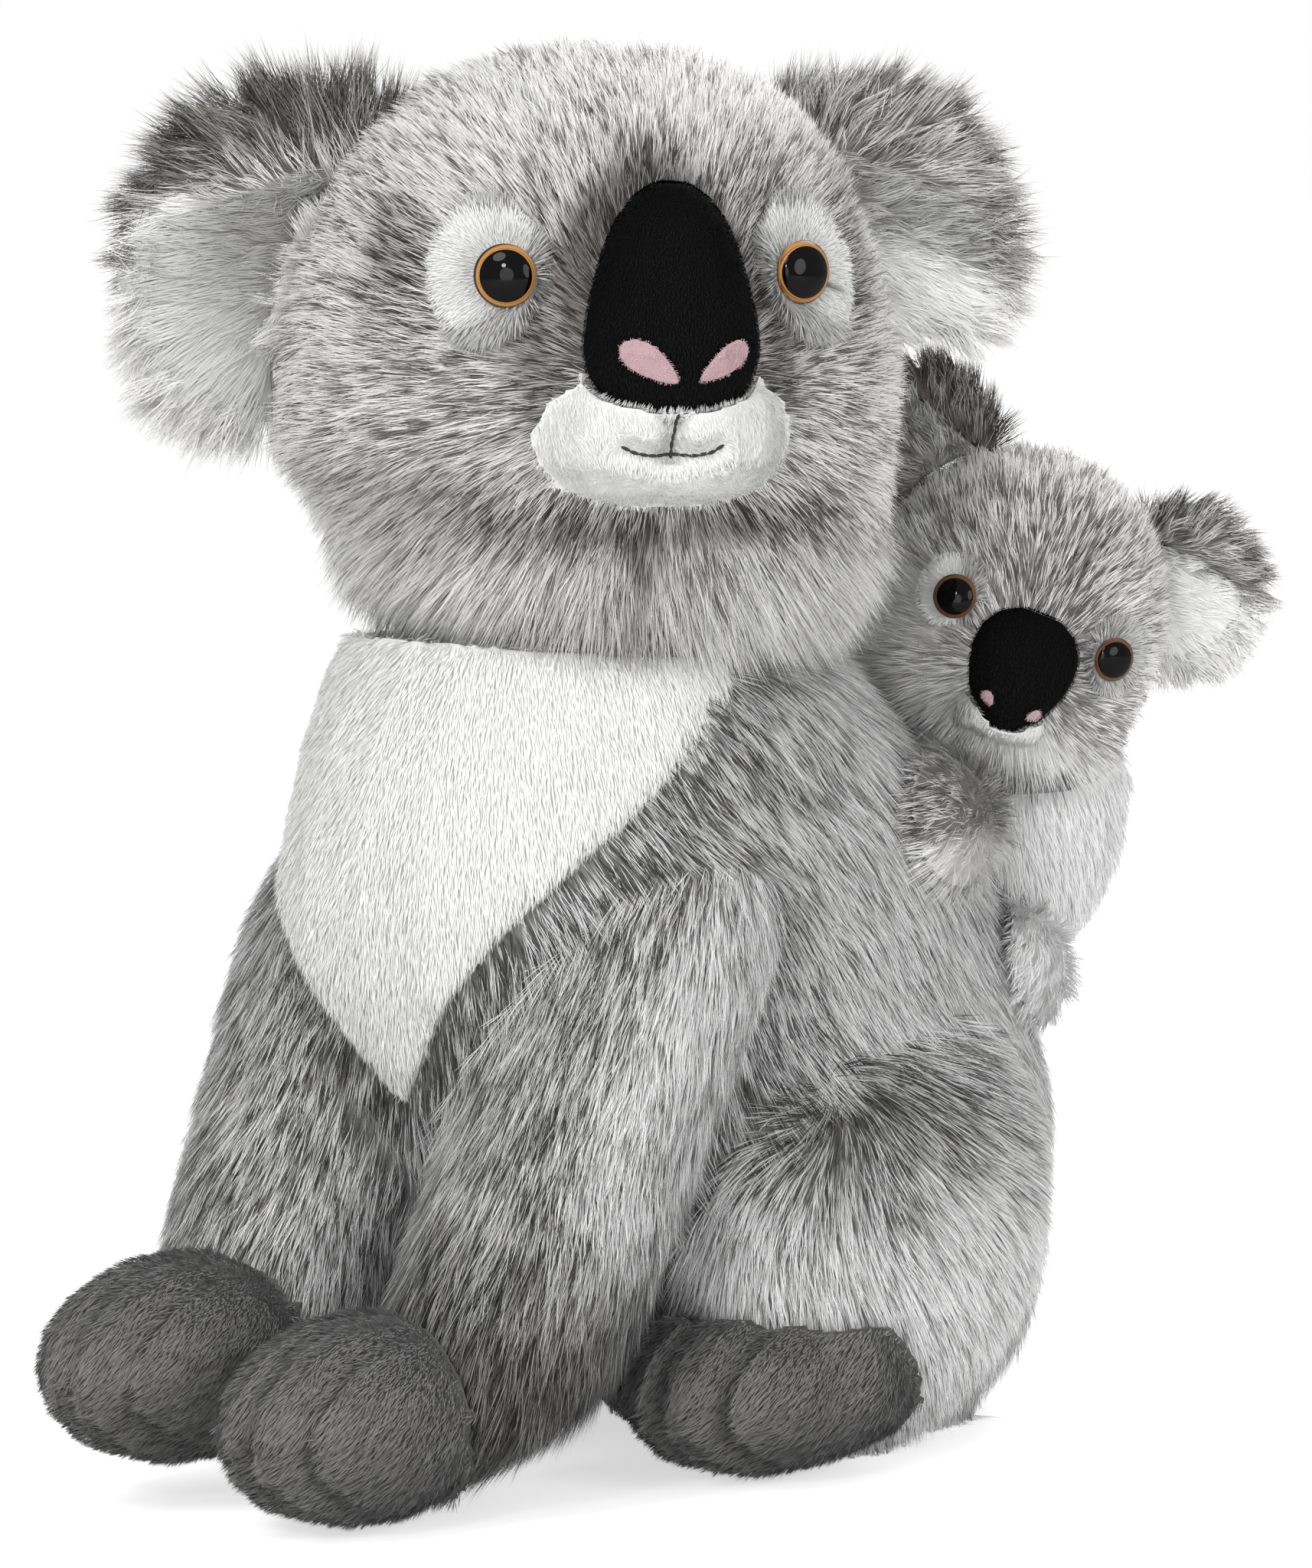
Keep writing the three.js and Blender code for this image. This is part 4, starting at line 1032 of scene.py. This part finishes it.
def mother_muzzle_looks(p, n):
    """Short and even, and shorter still where it meets the nose and the chin."""
    ends = np.maximum(smooth_step(p[:, 2], -8, -2), smooth_step(-n[:, 2], 0.55, 0.9))
    ends = np.maximum(ends, np.exp(-(p[:, 0] / 4) ** 2) * smooth_step(-p[:, 2], 25, 30))
    return {"comb": unit(p - np.array((0, -40, -10))) + np.array((0, 0, -0.3)), "pile": 2.7 - 1.3 * ends,
            "tone": 0.97, "rise": 0.5}


def joey_muzzle_looks(p, n):
    """White under the middle of the nose, and pale grey beside it."""
    pale = smooth_step(np.abs(p[:, 0] - 3), 8, 12)
    return {"comb": p - np.array((0, -21, -3)) + np.array((0, 0, -4)), "pile": 1.8 + 2.5 * pale,
            "tone": 0.99 - 0.4 * pale, "rise": 0.5}


def radial(centre, droop, **values):
    """An even pile that lies away from one place."""
    def looks(p, n):
        return {"comb": unit(p - np.array(centre)) + np.array((0, 0, -droop)), **values}
    return looks


def ear_fan(p, width, up):
    """The pile of an ear fans out from its root: up at the top, outward, and down at the bottom."""
    x, z = p[:, 0], p[:, 2]
    down = smooth_step(-z, width * 0.3, width * 0.8) * width * 0.5
    return np.stack([x + width * 0.3, 0 * x, z * np.where(z > 0, up, 0.9) - 4 - 0.25 * x - down], axis=1)


def ear_length(p, face, side):
    """Longest at the top beside the head and at the bottom, where the white hangs down."""
    width, height = face.ear_size
    x, z = p[:, 0] / width, p[:, 2] / height
    rim = smooth_step(np.hypot(x, z * 2), 0.5, 1.0)
    top = smooth_step(z, 0.15, 0.42) * (1 if side < 0 else 0.1)
    corner = top * (1 - smooth_step(x, 0.05, 0.5))
    bottom = smooth_step(-z, 0.2, 0.42)
    return (8 + 6 * rim + 2 * top + 4 * corner + 5 * bottom) * (1 if height > 60 else 0.62)


def ear_back_looks(face, side):
    """Shaggy grey, darker at the top, and white round the lower rim."""
    width, height = face.ear_size

    def looks(p, n):
        x, _, z = p.T
        line = face.below_line(p, side)
        low = smooth_step(-z, -height * 0.05, height * 0.15)
        white = smooth_step(-n[:, 1], -0.35 - 0.7 * low, 0.25 - 1.1 * low) * smooth_step(line, -2.0, 4.0)
        rim = smooth_step(np.hypot(x / width, z / (height / 2)), 0.55, 1.0)
        top = smooth_step(z, height * 0.15, height * 0.42)
        tone = (0.4 + 0.07 * face.size - 0.08 * top + 0.18 * (side > 0)) * (1 - white) + 0.93 * white
        return {"comb": ear_fan(p, width, 0.9), "pile": ear_length(p, face, side) + 2 * (1 - white),
                "tone": tone, "tick": (0.44 + 0.06 * rim - 0.08 * (side > 0)) * (1 - white),
                "rise": 0.26, "depth": 0.42}
    return looks


def lining_looks(face, side):
    """White below a slanting line and grey above it, with painted shade greying the white near the ear's root
    beside the head. The joey's right ear is grey all over.
    """
    width, height = face.ear_size
    tone = 1.0 if side > 0 else 0.77 if face is mother else 0.4
    hidden = 1.0 if face is joey and side < 0 else 0.0

    def looks(p, n):
        x, _, z = p.T
        root = smooth_step(-x, -width * 0.85, -width * 0.3) * smooth_step(z, -height * 0.35, height * 0.1)
        upper = smooth_step(z, 0, height * 0.3)
        dark = 1 - smooth_step(face.below_line(p, side), -3, 4)
        # Painted shade: the white is darker towards the ear's inner upper part at its root, where the head
        # shades it.
        white = tone - (0.6 if side < 0 else 0.1) * tone * root
        return {"comb": ear_fan(p, width, -0.1),
                "pile": ear_length(p, face, side) * (1 - 0.4 * upper * (side < 0)),
                "tone": white * (1 - dark) + 0.42 * dark, "tick": 0.4 * dark + 0.5 * hidden * (1 - dark),
                "rise": 0.2 + 0.1 * dark + 0.15 * hidden, "depth": 0.3 + 0.3 * hidden}
    return looks


def patch_looks(face, side):
    """White round the outer side of the eye, and grey where the head's pile closes over its inner side.
    Painted shade greys the white close round the mother's eyes and along a crease below her left eye.
    """
    out, rise = face.eye_place
    whiteness = 0.38 if face is mother else 0.56

    def looks(p, n):
        across, up = p[:, 0] * side - out, p[:, 2] - rise
        angle = np.arctan2(up, across) - math.radians(25)
        if face is joey:
            white = smooth_step(across - 0.3 * up, -1.5, 0.5) * (0.2 if side > 0 else 1)
        else:
            white = smooth_step(np.cos(angle), -0.25, 0.0)
            for inside in (up + 0.52 * across + 5.8, up + 11, 14.5 - up):
                white = white * smooth_step(inside, -1.5, 1.0)
        # Painted shade: a dark line along a crease below the mother's left eye, and grey on the white close
        # round the mother's eyes.
        crease_shade = np.exp(-((up + 3 + 0.35 * (across - 8)) / 0.7) ** 2) * smooth_step(across, 5, 7)
        crease_shade = crease_shade * smooth_step(14 - across, 0, 2) * (0.55 if face is mother and side > 0 else 0)
        shade = crease_shade + (1 - smooth_step(np.hypot(across, up), 8, 13)) * (0.16 if face is mother else 0)
        return {"comb": np.stack([across * side, 0 * up, up - 0.5 * (1 - white)], axis=1),
                "pile": (2.3 + 2.6 * (1 - white)) * (0.55 + 0.45 * face.size),
                "tone": 0.42 + (whiteness - shade) * white, "rise": 0.42}
    return looks


def joey_body_looks(p, n):
    """Cream, smoothed down, and a little fuller at the neck."""
    comb = np.stack([0 * p[:, 0], 0.1 + 0 * p[:, 0], -np.ones(len(p))], axis=1)
    neck = smooth_step(p[:, 2], 172, 186)
    return {"comb": comb, "pile": 7.5, "tone": 0.99 - 0.08 * neck, "rise": 0.34 + 0.3 * neck}


def joey_limb_looks(direction, grey_from, base):
    """Grey on its upper side and cream below, with the pile towards the hand or foot."""
    def looks(p, n):
        cream = smooth_step(grey_from - n[:, 2], -0.25, 0.35)
        return {"comb": np.tile(direction, (len(p), 1)).astype(float), "pile": 9.0,
                "tone": base * (1 - cream) + 0.98 * cream, "tick": (0.6 - 0.25 * base) * (1 - cream),
                "rise": 0.38, "depth": 0.6}
    return looks


# Kinds of pile. Strands and Tufts are counts in a square metre, and Width is in metres.
long_pile = {"Strands": 2.0e6, "Tufts": 1.8e5, "Width": 0.215e-3, "Pull": 0.45, "Tousle": 0.09,
             "Stray": 0.1, "Droop": 0.08, "Sway": 0.42, "Spread": 0.6}
fluffy = dict(long_pile, Tousle=0.2, Uneven=0.4)
shaggy = dict(long_pile, Spread=1.0, Strands=3.0e6, Tufts=0.5e5, Pull=0.75, Tousle=0.26, Stray=0.12,
              Sway=0.6)
tufted = dict(shaggy, Tousle=0.18, Pull=0.65)
smooth_long = dict(long_pile, Strands=3.0e6, Tufts=0.9e5, Pull=0.5, Tousle=0.12, Spread=0.5)
short = {"Strands": 3.4e6, "Tufts": 2.0e5, "Width": 0.24e-3, "Pull": 0.25, "Tousle": 0.12, "Stray": 0.14,
         "Droop": 0.05, "Sway": 0.3}
velvet = dict(short, Tousle=0.05, Stray=0.1, Pull=0.05, Sway=0.1, Spread=0.35)
fleece = dict(velvet, Strands=5e6, Tousle=0.14, Pull=0.12, Width=0.18e-3, Spread=0.3)

cover("torso", torso_looks, *GREY, keep_off=["chest_panel"], fringe=0.22, **dict(long_pile, Spread=0.4))
cover("chest_panel", bib_looks, *WHITE, **dict(velvet, Spread=0.2))
for side, side_name in SIDES:
    cover("arm_" + side_name, arm_looks, *GREY, keep_off=["chest_panel"], fringe=0.2,
          **dict(long_pile, Spread=0.85))
    cover("paw_" + side_name, paw_looks("paw", side), *PAW, **velvet)
    cover("haunch_" + side_name, haunch_looks, *GREY, **long_pile)
    cover("foot_" + side_name, paw_looks("foot", side), *PAW, **velvet)
cover("joey_body", joey_body_looks, *GREY, **long_pile)
cover("joey_arm_left", joey_limb_looks((-0.3, -1, -0.2), 0.05, 0.7), *BRINDLED, **fluffy)
cover("joey_arm_right", joey_limb_looks((-1, -0.3, 0.1), 0.05, 0.7), *BRINDLED, **fluffy)
cover("joey_leg_left", joey_limb_looks((0.2, -1, -0.5), 0.7, 0.97), *GREY, **fluffy)
cover("joey_leg_right", joey_limb_looks((-0.4, -1, -0.5), 0.5, 0.85), *GREY, **fluffy)
cover("neck_fill", radial((0, 0, 0), 0.5, pile=2.0, tone=0.8), WHITE_PLUSH, "filling",
      **dict(short, Strands=2e5))
for face, head_looks, muzzle_looks, uneven in ((mother, mother_head_looks, mother_muzzle_looks, 0.3),
                                               (joey, joey_head_looks, joey_muzzle_looks, 0.45)):
    pre, k = face.prefix, face.size
    around_eyes = [pre + part + side_name for part in ("eye_patch_", "eye_") for _, side_name in SIDES]
    cover(pre + "head", head_looks, *BRINDLED, keep_off=[pre + "muzzle", pre + "nose", *around_eyes],
          **dict(long_pile, Uneven=uneven))
    cover(pre + "muzzle", muzzle_looks, *WHITE, keep_off=[pre + "nose"], **fleece)
    cover(pre + "nose", radial((0, -50 * k, 60 * k), 0.6, pile=1.2, tone=0.62, rise=0.5),
          NOSE_VELOUR, "nose_velour", **dict(velvet, Strands=3.5e6))
    for side, side_name in SIDES:
        cover(pre + "eye_patch_" + side_name, patch_looks(face, side), *WHITE,
              keep_off=[pre + "eye_" + side_name], **velvet)
        cover(pre + "nostril_" + side_name, radial((side * 4, -70, 0), 0.3, pile=0.8, tone=0.6, rise=0.5),
              NOSTRIL_FELT, "nostril_felt", **dict(velvet, Strands=5e6, Width=0.18e-3))
        cover(pre + "ear_%s_back" % side_name, ear_back_looks(face, side), *BRINDLED, **shaggy)
        cover(pre + "ear_%s_lining" % side_name, lining_looks(face, side), *WHITE,
              **(smooth_long if side < 0 and face is mother else tufted))


# Mouth and philtrum: black stitches that lie on the muzzle's skin

def stitch_tree():
    """Short stitches, end to end along a path, each a round thread with tapered ends."""
    tree, given = mesh_tree("stitches", (("Stitch", 2.2e-3), ("Thread", 0.45e-3)))
    curve = use(tree, "GeometryNodeMeshToCurve", "Curve", Mesh=given["Geometry"])
    even = use(tree, "GeometryNodeResampleCurve", "Curve", {"mode": "LENGTH"}, Curve=curve,
               Length=given["Stitch"])
    tangent = use(tree, "GeometryNodeInputTangent", "Tangent")
    turn = use(tree, "FunctionNodeAlignRotationToVector", "Rotation", {"axis": "Z"}, Vector=tangent)
    bead = use(tree, "GeometryNodeMeshUVSphere", "Mesh", Segments=8, Rings=6, Radius=1.0)
    size = use(tree, "ShaderNodeCombineXYZ", "Vector", X=given["Thread"], Y=given["Thread"],
               Z=given["Stitch"] * 0.56)
    copies = use(tree, "GeometryNodeInstanceOnPoints", "Instances", Points=even, Instance=bead,
                 Rotation=turn, Scale=size)
    return end_tree(tree, use(tree, "GeometryNodeRealizeInstances", "Geometry", Geometry=copies), given)


def rough_finish(name, colour, roughness, grain, bump):
    """A plain material with a fine grain in its colour and its surface."""
    material, tree, shader = new_material(name, Roughness=roughness)
    where = tree.nodes.new("ShaderNodeTexCoord")
    noise = tree.nodes.new("ShaderNodeTexNoise")
    noise.inputs["Scale"].default_value, noise.inputs["Detail"].default_value = grain, 4.0
    tree.links.new(where.outputs["Object"], noise.inputs["Vector"])
    dark, light = ([v * share for v in colour] for share in (0.6, 1.3))
    mixed = colour_ramp(tree, noise.outputs["Fac"], ((0, dark), (1, light)))
    tree.links.new(mixed, shader.inputs["Base Color"])
    height = tree.nodes.new("ShaderNodeBump")
    height.inputs["Strength"].default_value, height.inputs["Distance"].default_value = 0.4, bump
    tree.links.new(noise.outputs["Fac"], height.inputs["Height"])
    tree.links.new(height.outputs["Normal"], shader.inputs["Normal"])
    return material


def sew_line(name, matrix, path, surface, proud, material, steps=6, in_front=-130, reach=0.1):
    """A row of stitches along a path seen from the front, laid on a skin."""
    marks = []
    for a, b in zip(path[:-1], path[1:]):
        marks += [Vector(a).lerp(Vector(b), i / steps) for i in range(steps)]
    marks.append(Vector(path[-1]))
    forward = (matrix.to_3x3() @ Vector((0, 1, 0))).normalized()
    places = []
    for mark in marks:
        start = (matrix @ Vector((mark.x, in_front, mark.y))) * MM
        hit = surface.ray_cast(start, forward, reach)
        if hit[0] is not None:
            places.append(hit[0] - forward * proud * MM)
    mesh = bpy.data.meshes.new(name)
    mesh.from_pydata(places, [(i, i + 1) for i in range(len(places) - 1)], [])
    line = add_object(name, mesh)
    line.data = made_by(STITCH_TREE, line, Material=material)
    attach(line, "head")


STITCH_TREE = stitch_tree()
BLACK_THREAD = rough_finish("black_thread", (0.012, 0.011, 0.011), 0.55, 2600, 0.1e-3)
muzzle_skin = BVHTree.FromPolygons(*SHAPES["muzzle"])
sew_line("mouth_stitches", MOTHER, MOUTH, muzzle_skin, 1.6, BLACK_THREAD)
sew_line("philtrum_stitches", MOTHER, PHILTRUM, muzzle_skin, 2.4, BLACK_THREAD)

# Washers: moulded plastic behind the eyes
WASHER_PLASTIC = rough_finish("moulded_washer_plastic", (0.55, 0.55, 0.52), 0.42, 900, 0.05e-3)
for face in (mother, joey):
    for _, side_name in SIDES:
        cad[face.prefix + "eye_%s_washer" % side_name].material_slots[0].material = WASHER_PLASTIC


# Eyes: a glossy dome over a wide black pupil in an amber or brown ring, with its shank

def eye_finish(name, ring, ring_dark):
    """Colours by the distance from the middle: the black pupil, a line, the ring, and the black edge."""
    material, tree, shader = new_material(name, Roughness=0.3, Specular_IOR_Level=0.0, Coat_Weight=0.4,
                                          Coat_Roughness=0.02, Coat_IOR=1.45)
    middle = tree.nodes.new("ShaderNodeVectorMath")
    middle.operation = "DISTANCE"
    middle.inputs[1].default_value = (0.5, 0.5, 0)
    tree.links.new(map_of(tree), middle.inputs[0])
    black, line = (0.002, 0.0015, 0.0015), tuple(v * 1.6 for v in ring)
    stops = ((0, black), (1, black), (0.412, black), (0.42, line), (0.428, ring_dark), (0.442, ring),
             (0.468, ring), (0.488, ring_dark), (0.497, black))
    tree.links.new(colour_ramp(tree, middle.outputs["Value"], stops), shader.inputs["Base Color"])
    return material


INWARD = {1: 0.075, -1: -0.045}  # how far the pupil sits towards the nose, as a share of the eye's width


def glass_eye(face, side, side_name, material, rings=14, turns=48, lip=0.15):
    """A domed eye as wide and as deep as its CAD node: a shank, a short straight rim and a round dome."""
    node = face.prefix + "eye_" + side_name
    matrix = face.eye(side)
    p = local(coordinates(cad[node].data), matrix)
    low, high = p.min(0), p.max(0)
    middle, radius, top = (low + high) / 2, (high[0] - low[0]) / 2, high[1]
    edge = p[np.hypot(p[:, 0] - middle[0], p[:, 2] - middle[2]) > radius * 0.9][:, 1]
    rim, shank = edge.min(), radius * 0.3
    foot = rim + lip * radius  # where the dome starts
    profile = [(0.02, low[1]), (shank, low[1]), (shank, rim), (radius * 0.96, rim), (radius, foot)]
    for i in range(1, rings):
        a = i / rings * math.pi / 2
        profile.append((radius * math.cos(a), foot + (top - foot) * math.sin(a)))
    bm = bmesh.new()
    uv = bm.loops.layers.uv.new("UVMap")
    grid = [[bm.verts.new((middle[0] + r * math.cos(t), y, middle[2] + r * math.sin(t)))
             for t in np.linspace(0, 2 * math.pi, turns, endpoint=False)] for r, y in profile]
    ends = [bm.verts.new((middle[0], low[1], middle[2])), bm.verts.new((middle[0], top, middle[2]))]
    for a, b in zip(grid[:-1], grid[1:]):
        for i in range(turns):
            bm.faces.new((a[i], a[(i + 1) % turns], b[(i + 1) % turns], b[i]))
    for i in range(turns):
        bm.faces.new((grid[0][(i + 1) % turns], grid[0][i], ends[0]))
        bm.faces.new((grid[-1][i], grid[-1][(i + 1) % turns], ends[1]))
    for facet in bm.faces:
        facet.smooth = True
        for loop in facet.loops:
            x, _, z = loop.vert.co
            loop[uv].uv = (0.5 + (x - middle[0]) / (2 * radius) - INWARD[side],
                           0.5 + (z - middle[2]) / (2 * radius))
    for vert in bm.verts:
        vert.co = (matrix @ vert.co) * MM
    bmesh.ops.recalc_face_normals(bm, faces=bm.faces)
    mesh = bpy.data.meshes.new(node + "_dome")
    bm.to_mesh(mesh)
    bm.free()
    mesh.materials.append(material)
    dome = add_object(node + "_dome", mesh)
    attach(dome, face.prefix + "head")
    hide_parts(node)


AMBER_EYE = eye_finish("amber_eye_dome", (0.47, 0.23, 0.07), (0.17, 0.07, 0.02))
BROWN_EYE = eye_finish("brown_eye_dome", (0.17, 0.075, 0.03), (0.06, 0.024, 0.01))
for face, finish, slot_name in ((mother, AMBER_EYE, "amber_eye"), (joey, BROWN_EYE, "brown_eye")):
    for side, side_name in SIDES:
        glass_eye(face, side, side_name, finish)
